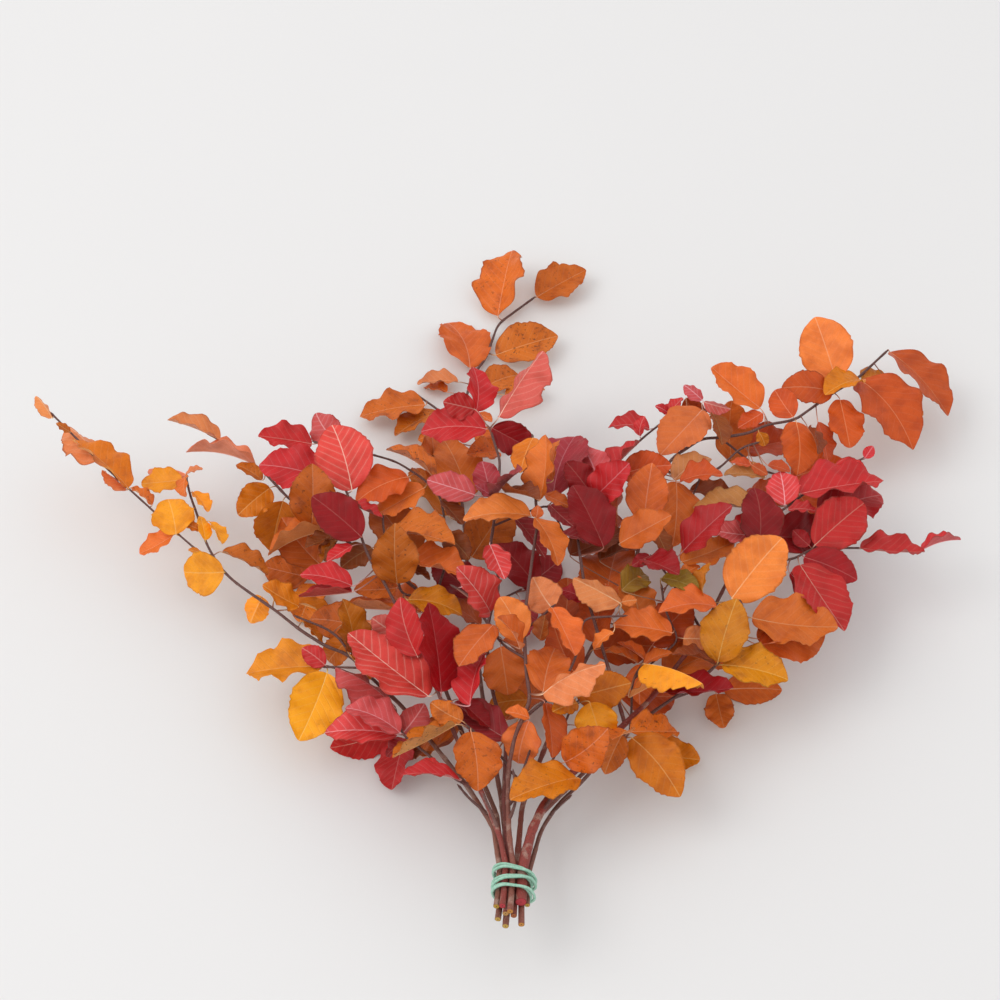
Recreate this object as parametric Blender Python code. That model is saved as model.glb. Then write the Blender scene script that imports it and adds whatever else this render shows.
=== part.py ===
"""A bunch of preserved autumn beech branches, tied near the cut ends and laid on a table.

Ten branches, each one solid with its stem, twigs and leaves grown together, and three rubber bands.
Metres, +Z up, the table at Z = 0, the cut ends toward -Y.
"""

import math
import random

import bpy
import numpy as np
from mathutils import Vector
from mathutils.bvhtree import BVHTree

MM = 0.001
SEED = 11

# Viewer
# The bunch is laid out as a viewer sees it who stands at the cut ends. A place is named by its column
# and row in a square picture 1000 wide, and by its height over the table in millimetres.
VIEW_ELEVATION = math.radians(50.0)
VIEW_DISTANCE = 2.4
VIEW_HALF_WIDTH = 0.2
PICTURE_CENTRE = Vector((-0.0007, 0.0974, 0.0))

# Leaves
BLADE_THICKNESS = 0.8 * MM
WIDTH_OVER_LENGTH = 0.72
WIDEST_POWER = 0.88
BASE_ROUNDNESS = 0.56
TIP_POINT = (0.0, 0.22)
MARGIN_SCALLOP = 0.05
LEAN_TO_VIEWER = math.radians(20.0)
LEAN_HEIGHT = 70.0
PETIOLE_HALF_WIDTH = 0.5 * MM
PETIOLE_HALF_HEIGHT = 0.42 * MM
SLIVER_LEAF = 15 * MM
SMALL_LEAF = 56 * MM
LARGE_LEAF = 80 * MM
PRESSED_HEIGHT = 6.0

# Wood
STEM_SIDES = 5
TWIG_SIDES = 4
TWIG_ROOT_RADIUS = 1.8 * MM
TWIG_END_RADIUS = 1.0 * MM
TAPER_POWER = 1.7

# Tie: the stems run side by side through the bands, each in its own place of the bundle's section.
TIE_COLUMN_ROW_HEIGHT = (513, 884, 64)
TIE_AXIS = Vector((-0.05, -0.98, 0.19)).normalized()
TIE_HALF_LENGTH = 15 * MM
BAND_GAP = 0.35 * MM
BAND_POINTS = 15
BAND_SIDES = 4
BANDS = {
    # along the tie (mm), strand radius (mm), sway of the strand along the tie (mm), slant (mm a radius)
    "upper_band": (-9.0, 1.3, 2.8, 2.6),
    "middle_band": (1.5, 1.3, 2.6, -2.0),
    "lower_band": (11.0, 1.2, 1.6, 0.8),
}

# Clearance between things that don't grow together
GAP = 0.35 * MM
TRIES = 200
BROAD_LEAF = 34

# Leaves under the others, which hide the table: the outline of the bunch's thick part and a rule
FILL_OUTLINE = [(262, 470), (330, 455), (400, 480), (440, 440), (500, 420), (560, 450), (640, 440),
                (700, 420), (780, 440), (860, 420), (870, 500), (850, 600), (780, 660), (700, 690),
                (640, 700), (600, 750), (530, 760), (440, 760), (350, 720), (330, 650), (300, 600)]
FILL_STEP = 12
FILL_REACH = 16
FILL_OPEN = 0.4
FILL_LEAVES = 64
FILL_TRIES = 40
FILL_PETIOLE = 45 * MM
FILL_OTHER_BRANCH = 25
CELL = 4

# Branches. place: where the stem sits in the tied bundle's section (right, up; mm) and its radius.
# cut: how far the cut end stands beyond the tie's middle (mm). end: the radius at the tip (mm).
# grown: the stem first, then its twigs, each as a path of (column, row, height) and its leaves, each as
# (column and row of the blade's base, column and row of its tip, width seen), a negative width where
# the underside is seen. A twig starts on the wood already grown.
BRANCHES = {
    "red_right_branch": dict(
        colour="B3121D", place=(7.2, 3.0, 4.7), cut=22, end=1.3,
        grown=[
            ([(531, 832, 64), (545, 802, 61), (571, 774, 60), (610, 738, 56), (650, 700, 54), (700, 636, 60),
              (728, 580, 68), (742, 545, 76), (770, 520, 82), (785, 508, 84)],
             [(785, 505, 780, 471, 36), (750, 535, 713, 530, 24), (735, 530, 768, 512, 14),
              (788, 510, 818, 512, 12), (665, 692, 735, 688, 20)]),
            ([(750, 560, 68), (793, 560, 72), (812, 548, 72), (860, 548, 64), (890, 549, 56)],
             [(812, 545, 793, 530, 18), (800, 555, 857, 580, 35), (790, 573, 833, 610, 30),
              (860, 548, 925, 552, 22), (922, 550, 961, 540, 5), (800, 565, 845, 632, 45),
              (815, 545, 864, 503, 55)]),
            ([(800, 497, 84), (835, 470, 78), (862, 459, 74)],
             [(835, 465, 870, 478, 25), (865, 458, 873, 446, 12), (800, 494, 884, 481, 34)]),
            ([(585, 590, 84), (575, 520, 92), (597, 484, 94), (630, 450, 90), (645, 436, 86),
              (668, 418, 82)],
             [(594, 498, 566, 462, 30), (598, 479, 583, 447, -38), (603, 480, 640, 442, 20),
              (655, 430, 608, 428, 18), (640, 436, 645, 416, 12), (668, 415, 683, 398, 12),
              (668, 413, 655, 406, 10), (602, 485, 578, 503, 16), (605, 505, 583, 517, 12),
              (585, 600, 560, 590, 18)]),
            ([(548, 806, 66), (553, 790, 70)], []),
            ([(690, 610, 66), (664, 570, 80), (655, 560, 84)],
             [(645, 560, 680, 575, 20), (650, 556, 632, 566, 14)]),
        ],
    ),
    "orange_centre_branch": dict(
        colour="C8541A", place=(-0.7, 6.2, 2.6), cut=36, end=1.2,
        grown=[
            ([(509, 835, 67), (508, 802, 64), (508, 770, 62), (515, 735, 68), (531, 700, 84),
              (527, 680, 92), (525, 655, 98), (524, 620, 102), (532, 560, 106), (538, 520, 108),
              (536, 505, 107), (534, 475, 104)],
             [(531, 516, 463, 520, 27), (536, 518, 538, 505, 13), (535, 518, 558, 566, 30),
              (505, 492, 540, 500, 14), (545, 495, 570, 507, 14), (540, 500, 546, 434, 28),
              (553, 480, 560, 440, 14), (521, 640, 500, 597, 38), (545, 703, 552, 758, 26),
              (529, 718, 505, 712, 14), (529, 721, 518, 765, 42), (543, 694, 609, 662, -18),
              (543, 692, 555, 648, 48)]),
            ([(536, 450, 100), (533, 438, 96)],
             [(533, 438, 520, 474, 27)]),
            ([(540, 618, 106), (550, 609, 108)],
             [(540, 640, 545, 615, 16), (552, 608, 575, 656, 28), (551, 607, 533, 577, -40)]),
            ([(560, 690, 86), (575, 660, 93), (580, 640, 97), (583, 618, 99), (620, 616, 97)],
             [(613, 632, 594, 650, 12), (622, 602, 637, 600, 12), (620, 603, 573, 578, -28)]),
            ([(513, 812, 70), (517, 796, 74), (514, 776, 76)], []),
            ([(500, 643, 98), (492, 628, 98)],
             [(520, 648, 495, 615, 14), (493, 625, 458, 668, 30), (500, 643, 508, 695, 46),
              (503, 640, 530, 676, 16)]),
        ],
    ),
    "red_left_branch": dict(
        colour="B3121D", place=(-6.7, 5.9, 2.7), cut=30, end=1.2,
        grown=[
            ([(500, 836, 62), (481, 791, 60), (457, 740, 62), (440, 697, 74), (415, 640, 80),
              (380, 575, 84), (370, 560, 86), (362, 540, 88), (357, 520, 90), (350, 500, 90),
              (343, 484, 90), (332, 481, 88)],
             [(352, 592, 298, 597, 6), (352, 586, 300, 575, 25), (352, 546, 327, 562, 14),
              (360, 528, 332, 512, 14), (350, 503, 383, 518, 12), (347, 505, 323, 498, -9),
              (352, 490, 332, 425, 60), (332, 480, 259, 465, 46), (405, 640, 372, 618, -30),
              (460, 700, 490, 728, 20),
              (470, 705, 485, 653, 22), (441, 692, 428, 602, 48), (428, 696, 348, 633, 55)]),
            ([(345, 468, 84), (335, 448, 80), (318, 443, 76)],
             [(335, 440, 316, 413, -35), (312, 444, 258, 436, 28)]),
            ([(455, 780, 63), (440, 765, 64), (420, 748, 64), (402, 735, 64), (396, 712, 66)],
             [(460, 780, 400, 775, 24), (440, 768, 418, 762, 10), (408, 742, 386, 757, 12),
              (395, 708, 335, 668, -30), (400, 733, 345, 708, 30), (402, 735, 325, 733, 38),
              (403, 733, 425, 703, -34)]),
            ([(405, 668, 76), (365, 668, 68), (328, 667, 62)],
             [(325, 665, 302, 648, 22)]),
            ([(496, 822, 66), (486, 800, 72)], []),
            ([(420, 720, 22), (395, 728, 5)],
             [(393, 730, 330, 748, 40), (405, 738, 392, 790, 34)]),
        ],
    ),
    "red_centre_branch": dict(
        colour="A8182A", place=(-4.1, 0.6, 2.6), cut=33, end=1.2,
        grown=[
            ([(504, 803, 46), (506, 740, 44), (492, 690, 56), (486, 640, 76), (490, 612, 88),
              (499, 590, 94), (497, 565, 96), (490, 545, 96), (493, 530, 94), (499, 478, 90),
              (500, 460, 86), (495, 445, 82), (490, 428, 76)],
             [(492, 428, 537, 452, 36), (475, 495, 427, 480, 30), (500, 500, 475, 485, 14),
              (495, 497, 522, 470, 22), (490, 495, 482, 461, 28), (500, 600, 477, 592, 18),
              (490, 545, 505, 580, 26), (476, 411, 473, 367, 30), (474, 409, 443, 402, 28),
              (499, 417, 543, 351, -35), (490, 428, 421, 432, 40)]),
            ([(515, 516, 94), (550, 504, 92), (562, 530, 90)],
             [(560, 535, 590, 545, 12), (550, 505, 575, 528, 18), (515, 518, 545, 558, 22)]),
            ([(470, 596, 92), (456, 588, 92)],
             [(455, 587, 490, 575, 20), (490, 612, 455, 565, 20)]),
            ([(512, 806, 50), (520, 780, 52), (528, 756, 56)], []),
            ([(500, 600, 50), (520, 590, 5)],
             [(522, 590, 560, 560, 38), (520, 600, 520, 640, 34)]),
        ],
    ),
    "amber_left_branch": dict(
        colour="C98A2B", place=(-11.5, 2.0, 2.6), cut=27, end=1.1,
        grown=[
            ([(494, 828, 51), (467, 786, 48), (402, 706, 54), (365, 672, 60), (350, 655, 64),
              (325, 646, 66), (300, 630, 66), (275, 610, 66), (250, 593, 66), (232, 580, 66),
              (218, 565, 66), (206, 543, 66), (198, 517, 67), (190, 495, 68), (186, 477, 70)],
             [(303, 622, 322, 644, 10), (277, 598, 335, 618, 14), (298, 606, 262, 585, 26),
              (262, 597, 250, 624, -27), (222, 552, 268, 575, 18), (224, 572, 184, 572, 46),
              (210, 522, 222, 544, 12), (205, 540, 200, 516, 12), (200, 530, 185, 524, 10),
              (193, 492, 208, 512, 14), (186, 476, 186, 497, 12), (186, 474, 203, 469, 6),
              (186, 474, 148, 469, -6), (182, 480, 141, 484, 27)]),
            ([(486, 812, 54), (470, 800, 60), (462, 790, 62)], []),
            ([(200, 553, 67), (177, 533, 67), (150, 508, 69), (128, 488, 71), (100, 462, 73),
              (66, 428, 76), (54, 416, 77)],
             [(200, 552, 188, 550, 6), (176, 535, 139, 554, 15), (152, 505, 130, 488, 10),
              (127, 490, 102, 470, -12), (128, 488, 72, 440, 25), (100, 460, 66, 425, -18),
              (70, 432, 56, 423, 8), (52, 418, 36, 396, -12), (176, 534, 168, 499, 44)]),
            ([(345, 644, 70), (330, 630, 73), (300, 618, 74)],
             [(350, 655, 370, 680, 6), (350, 630, 375, 620, -14), (345, 625, 360, 645, 20),
              (348, 640, 328, 662, 30)]),
            ([(355, 676, 61), (340, 669, 60), (326, 666, 58)],
             [(325, 665, 246, 674, 40), (327, 673, 298, 742, 57)]),
        ],
    ),
    "orange_left_branch": dict(
        colour="BF5A20", place=(-9.5, -3.8, 2.6), cut=35, end=1.2,
        grown=[
            ([(497, 815, 38), (465, 740, 36), (430, 650, 46), (424, 595, 58), (395, 572, 66),
              (345, 540, 68), (330, 525, 66), (290, 500, 64), (262, 470, 62), (250, 462, 62),
              (220, 440, 62), (205, 432, 62)],
             [(332, 530, 268, 556, 8), (337, 540, 322, 562, 4), (335, 535, 325, 562, 16),
              (336, 533, 305, 548, 18), (290, 505, 325, 522, 8), (262, 480, 236, 465, 14),
              (220, 440, 167, 420, 12), (255, 465, 184, 452, 12), (270, 488, 238, 515, 34),
              (283, 501, 272, 552, 48)]),
            ([(447, 562, 74), (445, 533, 82), (444, 515, 84), (440, 495, 85), (425, 480, 85),
              (410, 470, 84), (395, 461, 83), (377, 456, 82)],
             [(441, 500, 463, 525, 18), (445, 535, 470, 560, 28), (435, 478, 386, 450, 14),
              (424, 488, 376, 515, 30), (408, 477, 355, 503, 30)]),
            ([(401, 596, 64), (398, 580, 70), (397, 560, 73), (384, 535, 76), (383, 520, 78)],
             [(395, 610, 338, 608, 5), (400, 566, 430, 580, 12), (372, 548, 341, 568, 26),
              (408, 600, 462, 615, 28), (396, 588, 354, 590, 26), (400, 562, 472, 578, 16),
              (385, 533, 455, 545, 30)]),
            ([(330, 560, 40), (310, 575, 5)],
             [(308, 577, 262, 566, 36), (316, 584, 300, 622, 34)]),
        ],
    ),
    "orange_top_right_branch": dict(
        colour="C04A1C", place=(1.9, -3.4, 2.6), cut=31, end=1.2,
        grown=[
            ([(522, 806, 34), (556, 720, 34), (588, 655, 46), (623, 590, 66), (636, 560, 74),
              (643, 528, 80), (646, 500, 84), (656, 482, 85), (672, 458, 86), (702, 438, 86),
              (720, 438, 85), (750, 433, 83), (765, 425, 82), (795, 420, 78), (830, 395, 70),
              (858, 378, 62), (888, 350, 52)],
             [(570, 555, 625, 530, 30), (600, 560, 640, 545, 20), (655, 528, 668, 557, 18),
              (676, 482, 672, 548, 44), (674, 480, 711, 458, 28), (680, 482, 724, 475, 14),
              (762, 413, 738, 428, 18), (757, 430, 765, 446, 14), (808, 428, 818, 455, 12),
              (818, 422, 828, 463, 22), (796, 422, 797, 475, 40), (797, 420, 775, 390, 30),
              (840, 400, 850, 448, 35), (832, 392, 779, 388, 34), (760, 408, 711, 367, 30),
              (686, 398, 697, 434, 20), (860, 380, 825, 395, 20), (862, 380, 892, 378, 14),
              (836, 380, 815, 317, 55),
              (908, 405, 923, 416, 10), (860, 380, 913, 450, 55), (890, 352, 948, 416, 32)]),
            ([(528, 796, 38), (531, 770, 42), (528, 740, 44)], []),
            ([(640, 478, 84), (622, 473, 84)],
             [(622, 474, 672, 465, 36), (622, 472, 620, 543, 34)]),
            ([(706, 412, 88)],
             [(702, 400, 684, 385, -14), (704, 402, 731, 409, -12),
              (713, 414, 722, 445, 18), (702, 410, 660, 455, 45)]),
            ([(700, 478, 80), (720, 468, 82), (740, 448, 84), (753, 444, 85)],
             [(752, 466, 731, 462, 10), (752, 465, 768, 475, 12), (768, 465, 790, 472, 12),
              (765, 478, 722, 475, 14)]),
            ([(690, 502, 74), (740, 505, 74), (768, 508, 74)],
             [(690, 490, 740, 500, 25), (765, 512, 692, 508, 18), (785, 505, 750, 487, 14)]),
            ([(760, 470, 40), (790, 478, 5)],
             [(792, 478, 846, 462, 38), (794, 486, 812, 520, 34)]),
        ],
    ),
    "orange_right_branch": dict(
        colour="C4682A", place=(7.6, -5.3, 2.6), cut=38, end=1.3,
        grown=[
            ([(537, 818, 33), (600, 757, 32), (650, 714, 40), (700, 680, 58), (718, 664, 68),
              (735, 640, 74), (745, 615, 78), (740, 600, 80)],
             [(715, 665, 672, 655, 12), (702, 600, 711, 563, 16), (717, 607, 658, 613, 27),
              (760, 645, 815, 640, 15), (752, 618, 838, 627, 50), (719, 665, 788, 680, 42),
              (718, 662, 737, 598, 50), (732, 598, 782, 538, 60)]),
            ([(632, 680, 56), (643, 663, 62)],
             [(630, 697, 670, 676, 6), (644, 664, 673, 653, 12), (645, 660, 617, 643, 8),
              (645, 663, 601, 652, 16), (642, 664, 640, 706, 30), (645, 664, 707, 685, -12)]),
            ([(680, 640, 70), (672, 626, 76), (664, 606, 80), (662, 590, 82)],
             [(672, 633, 613, 625, 34), (682, 637, 710, 640, -28), (678, 594, 622, 609, 18),
              (622, 590, 648, 575, 22), (680, 577, 700, 566, 12), (662, 578, 700, 592, 18)]),
            ([(700, 690, 30), (722, 690, 5)],
             [(724, 690, 782, 690, 38), (716, 694, 724, 728, 30)]),
        ],
    ),
    "amber_top_branch": dict(
        colour="B97A2A", place=(-3.6, -5.7, 2.7), cut=40, end=1.2,
        grown=[
            ([(502, 803, 26), (483, 700, 18), (470, 600, 15), (462, 500, 13), (457, 465, 12),
              (456, 445, 11), (460, 425, 10), (471, 378, 9), (486, 358, 8), (498, 324, 8),
              (535, 297, 7)],
             [(498, 452, 464, 455, 14), (478, 430, 498, 450, 22), (478, 413, 492, 422, 10),
              (450, 435, 418, 440, 20), (458, 382, 417, 384, 14), (447, 392, 424, 388, 12),
              (505, 395, 545, 390, 14), (484, 388, 520, 375, 28), (470, 368, 448, 323, 46),
              (496, 355, 558, 336, 42), (537, 297, 586, 270, 38), (498, 316, 512, 251, 47)]),
            ([(440, 411, 13), (420, 397, 14)],
             [(438, 412, 395, 436, 20), (425, 405, 359, 417, 26)]),
            ([(512, 769, 46), (500, 755, 54), (486, 742, 63), (471, 729, 70)],
             [(455, 725, 392, 758, 10), (456, 724, 420, 747, 12), (462, 721, 430, 702, 26),
              (528, 700, 486, 706, 26), (471, 732, 478, 793, 55)]),
            ([(524, 785, 42), (550, 766, 54), (560, 745, 64), (567, 715, 74), (575, 705, 78)],
             [(578, 728, 566, 762, 10), (577, 703, 552, 712, 20), (577, 697, 631, 683, 40),
              (590, 703, 603, 748, 46)]),
        ],
    ),
    "amber_front_branch": dict(
        colour="D08B24", place=(12.3, -2.6, 2.2), cut=20, end=1.4,
        grown=[
            ([(541, 830, 53), (558, 804, 56), (581, 783, 58), (602, 759, 61), (626, 738, 64)],
             [(577, 778, 509, 800, 50), (630, 732, 612, 740, 12), (630, 732, 678, 732, 26),
              (622, 735, 604, 776, 30), (632, 738, 680, 797, 50)]),
            ([(552, 812, 58), (566, 800, 64)], []),
            ([(622, 748, 30), (640, 752, 5)],
             [(642, 752, 700, 760, 36)]),
        ],
    ),
}


def viewer_axes():
    """Where the viewer's eye is, and the unit vectors ahead, to the right and up for the viewer."""
    ahead = Vector((0.0, math.cos(VIEW_ELEVATION), -math.sin(VIEW_ELEVATION)))
    right = Vector((1.0, 0.0, 0.0))
    return PICTURE_CENTRE - ahead * VIEW_DISTANCE, ahead, right, right.cross(ahead)


EYE, AHEAD, RIGHT, UP = viewer_axes()


def line_of_sight(column, row):
    """The direction from the eye through a place of the picture."""
    x = (column - 500.0) / 500.0 * VIEW_HALF_WIDTH
    y = (500.0 - row) / 500.0 * VIEW_HALF_WIDTH
    return AHEAD + RIGHT * x + UP * y


def sight(column, row, height):
    """The point at a height in millimetres that the viewer sees at this place of the picture."""
    ray = line_of_sight(column, row)
    return EYE + ray * ((height * MM - EYE.z) / ray.z)


def pixels_a_metre(point):
    """How many columns one metre across the view takes at a point."""
    return 500.0 / VIEW_HALF_WIDTH / (point - EYE).dot(AHEAD)


def place_in_picture(point):
    """Column and row at which the viewer sees a point."""
    away = point - EYE
    scale = 500.0 / VIEW_HALF_WIDTH / away.dot(AHEAD)
    return np.array([500.0 + away.dot(RIGHT) * scale, 500.0 - away.dot(UP) * scale])


class Placed:
    """Everything placed so far, for asking whether a new thing would touch it."""

    def __init__(self):
        self.low, self.high, self.trees, self.owners = [], [], [], []

    def add(self, verts, faces, owner):
        """Keeps a mesh, with the name of the branch it grows on."""
        self.low.append(verts.min(axis=0))
        self.high.append(verts.max(axis=0))
        self.trees.append(BVHTree.FromPolygons(verts.tolist(), faces))
        self.owners.append(owner)

    def touched(self, verts, faces, owner, own):
        """Whether a mesh meets something placed: of its own branch if own, else of all the others."""
        if not self.trees:
            return False
        near = (np.array(self.low) <= verts.max(axis=0)).all(axis=1)
        near &= (np.array(self.high) >= verts.min(axis=0)).all(axis=1)
        picked = [i for i in np.flatnonzero(near) if (self.owners[i] == owner) == own]
        if not picked:
            return False
        tree = BVHTree.FromPolygons(verts.tolist(), faces)
        return any(tree.overlap(self.trees[i]) for i in picked)


def tube(points, radii, sides):
    """A closed tube along a path: a ring of vertices round each point, square to the path there."""
    points = [Vector(p) for p in points]
    ahead = (points[1] - points[0]).normalized()
    across = ahead.orthogonal().normalized()
    verts, faces = [], []
    for i, point in enumerate(points):
        before = (point - points[i - 1]).normalized() if i else ahead
        after = (points[i + 1] - point).normalized() if i + 1 < len(points) else before
        ahead = (before + after).normalized()
        across = (across - ahead * across.dot(ahead)).normalized()
        other = ahead.cross(across)
        for k in range(sides):
            angle = 2 * math.pi * k / sides
            verts.append(point + (across * math.cos(angle) + other * math.sin(angle)) * radii[i])
    for i in range(len(points) - 1):
        for k in range(sides):
            a, b = i * sides + k, i * sides + (k + 1) % sides
            faces.append((a, b, b + sides, a + sides))
    last = (len(points) - 1) * sides
    faces.append(tuple(reversed(range(sides))))
    faces.append(tuple(range(last, last + sides)))
    return np.array(verts), faces


def half_width(s, point):
    """Half the blade's width over its greatest, from base (0) to tip (1): ovate, the tip more or less
    drawn to a point."""
    return np.sin(math.pi * s**WIDEST_POWER) ** (BASE_ROUNDNESS + point * s)


class Leaf:
    """One leaf: where its petiole starts, its blade's base, its axes, and the shape of its blade."""

    def __init__(self, root, base, tip, facing, width, rng):
        self.root, self.base = root, base
        self.length = (tip - base).length
        self.along = (tip - base).normalized()
        self.facing = (facing - self.along * facing.dot(self.along)).normalized()
        self.across = self.facing.cross(self.along)
        self.width = self.seen_width = width
        self.arch = rng.uniform(-0.02, 0.10) * self.length
        self.bend = rng.uniform(-0.05, 0.05) * self.length
        self.wave = rng.uniform(0.03, 0.09) * width
        self.phase = rng.uniform(0.0, 2 * math.pi), rng.uniform(0.0, 2 * math.pi)
        self.fold = math.radians(rng.uniform(5.0, 18.0))
        self.point = rng.uniform(*TIP_POINT)

    def blade(self, s, t):
        """Points of the blade's middle surface at s from base to tip and t across, each -1 to 1.

        Along, the midrib arches and bends sideways as s times (1 - s). Across, the two halves rise
        from the midrib by the fold's angle, and the margin waves up and down.
        """
        share = half_width(s, self.point)
        side = np.abs(t) * share * self.width / 2
        phase = np.where(t < 0, self.phase[0], self.phase[1])
        up = self.arch * 4 * s * (1 - s) + side * math.sin(self.fold)
        up = up + self.wave * t * t * np.sin(5.5 * math.pi * s + phase) * np.sqrt(share)
        out = np.sign(t) * side * math.cos(self.fold) + self.bend * 4 * s * (1 - s)
        along, across, facing = (np.array(v) for v in (self.along, self.across, self.facing))
        points = np.array(self.base) + np.outer(s * self.length, along)
        return points + np.outer(out, across) + np.outer(up, facing)

    def turned_back(self):
        """Whether the blade turns back along its own petiole."""
        return (self.base - self.root).angle(self.along) > math.radians(115.0)

    def petiole(self, half, extra, root_share):
        """Top and low corners of the strap: root right, neck right, neck left, root left.

        The root's section is square to the strap. The neck's lies in the plane that halves the angle
        between strap and blade.
        """
        strap = (self.base - self.root).normalized()
        turn = self.along.rotation_difference(strap)
        halving = (strap + self.along).normalized()
        start = self.base + (self.root - self.base) * root_share
        corners = []
        for up in (1.0, -1.0):
            row = []
            for side in (1.0, -1.0):
                root = self.across * side * (PETIOLE_HALF_WIDTH + extra)
                root = root + self.facing * up * (PETIOLE_HALF_HEIGHT + extra)
                neck = self.across * side * (PETIOLE_HALF_WIDTH * 2.0 + extra) + self.facing * up * half
                neck = neck - self.along * (neck.dot(halving) / self.along.dot(halving))
                row += [start + turn @ root, self.base + neck]
            corners.append(np.array([row[0], row[1], row[3], row[2]]))
        return corners

    def mesh(self, extra=0.0, root_share=1.0):
        """The closed leaf: strap petiole and blade, split into triangles alike on both faces.

        extra is added all round, to keep a clearance. root_share shortens the petiole.
        """
        if self.seen_width < SLIVER_LEAF:
            stations, ribs = [0.45], [0.45]
        elif self.length < SMALL_LEAF:
            stations, ribs = [0.28, 0.7], [0.5]
        elif self.length < LARGE_LEAF:
            stations, ribs = [0.16, 0.48, 0.82], [0.48]
        else:
            stations, ribs = [0.12, 0.36, 0.62, 0.86], [0.3, 0.66]
        scallop = 1.03 + MARGIN_SCALLOP * np.cos(math.pi * np.arange(len(stations)))
        half = BLADE_THICKNESS / 2 / math.cos(self.fold) + extra
        n = len(stations)
        s = np.array(stations)
        right = self.blade(s, scallop)
        left = self.blade(s, -scallop)
        ribs = self.blade(np.array(ribs), np.zeros(len(ribs)))
        ends = self.blade(np.array([0.0, 1.0]), np.zeros(2))
        middle = np.vstack([ends[0], ends[0], right, ends[1], left[::-1], ends[0], ends[0], ribs])
        edge = 2 * n + 5
        top = middle + half * np.array(self.facing)
        low = middle - half * np.array(self.facing)
        strap = [0, 1, edge - 2, edge - 1]
        top[strap], low[strap] = self.petiole(half, extra, root_share)
        sunk = low[:, 2] < 0.0
        low[:, 2] = np.maximum(low[:, 2], 0.0)
        top[sunk, 2] = np.maximum(top[sunk, 2], 0.75 * BLADE_THICKNESS)
        rib_ids = list(range(edge, edge + len(ribs)))
        tip = n + 2
        flat = [(edge - 1, edge - 2, 1, 0), (edge - 2, rib_ids[0], 1)]
        flat += strip(list(range(edge - 2, tip - 1, -1)), rib_ids + [tip], middle)
        flat += [(a, c, b) for a, b, c in strip(list(range(1, tip + 1)), rib_ids + [tip], middle)]
        count = len(middle)
        faces = flat + [tuple(i + count for i in reversed(face)) for face in flat]
        for a in range(edge):
            b = (a + 1) % edge
            if {a, b} <= {0, 1, edge - 2, edge - 1}:
                faces.append((a, b, b + count, a + count))
            else:
                faces += [(a, b, a + count), (b, b + count, a + count)]
        return np.vstack([top, low]), faces


def crosses_itself(verts, faces):
    """Whether two faces of a mesh that share no corner meet."""
    tree = BVHTree.FromPolygons(verts.tolist(), faces)
    return any(i < k and not set(faces[i]) & set(faces[k]) for i, k in tree.overlap(tree))


def strip(outer, inner, points):
    """Triangles between two chains of points that end at the same point, the shorter cut first."""
    triangles, i, k = [], 0, 0
    while outer[i] != inner[k]:
        wide = np.linalg.norm(points[outer[min(i + 1, len(outer) - 1)]] - points[inner[k]])
        deep = np.linalg.norm(points[inner[min(k + 1, len(inner) - 1)]] - points[outer[i]])
        if k + 1 == len(inner) or (i + 1 < len(outer) and wide <= deep):
            triangles.append((outer[i], outer[i + 1], inner[k]))
            i += 1
        else:
            triangles.append((outer[i], inner[k + 1], inner[k]))
            k += 1
        if i + 1 == len(outer) and k + 1 == len(inner):
            break
    return triangles


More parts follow.
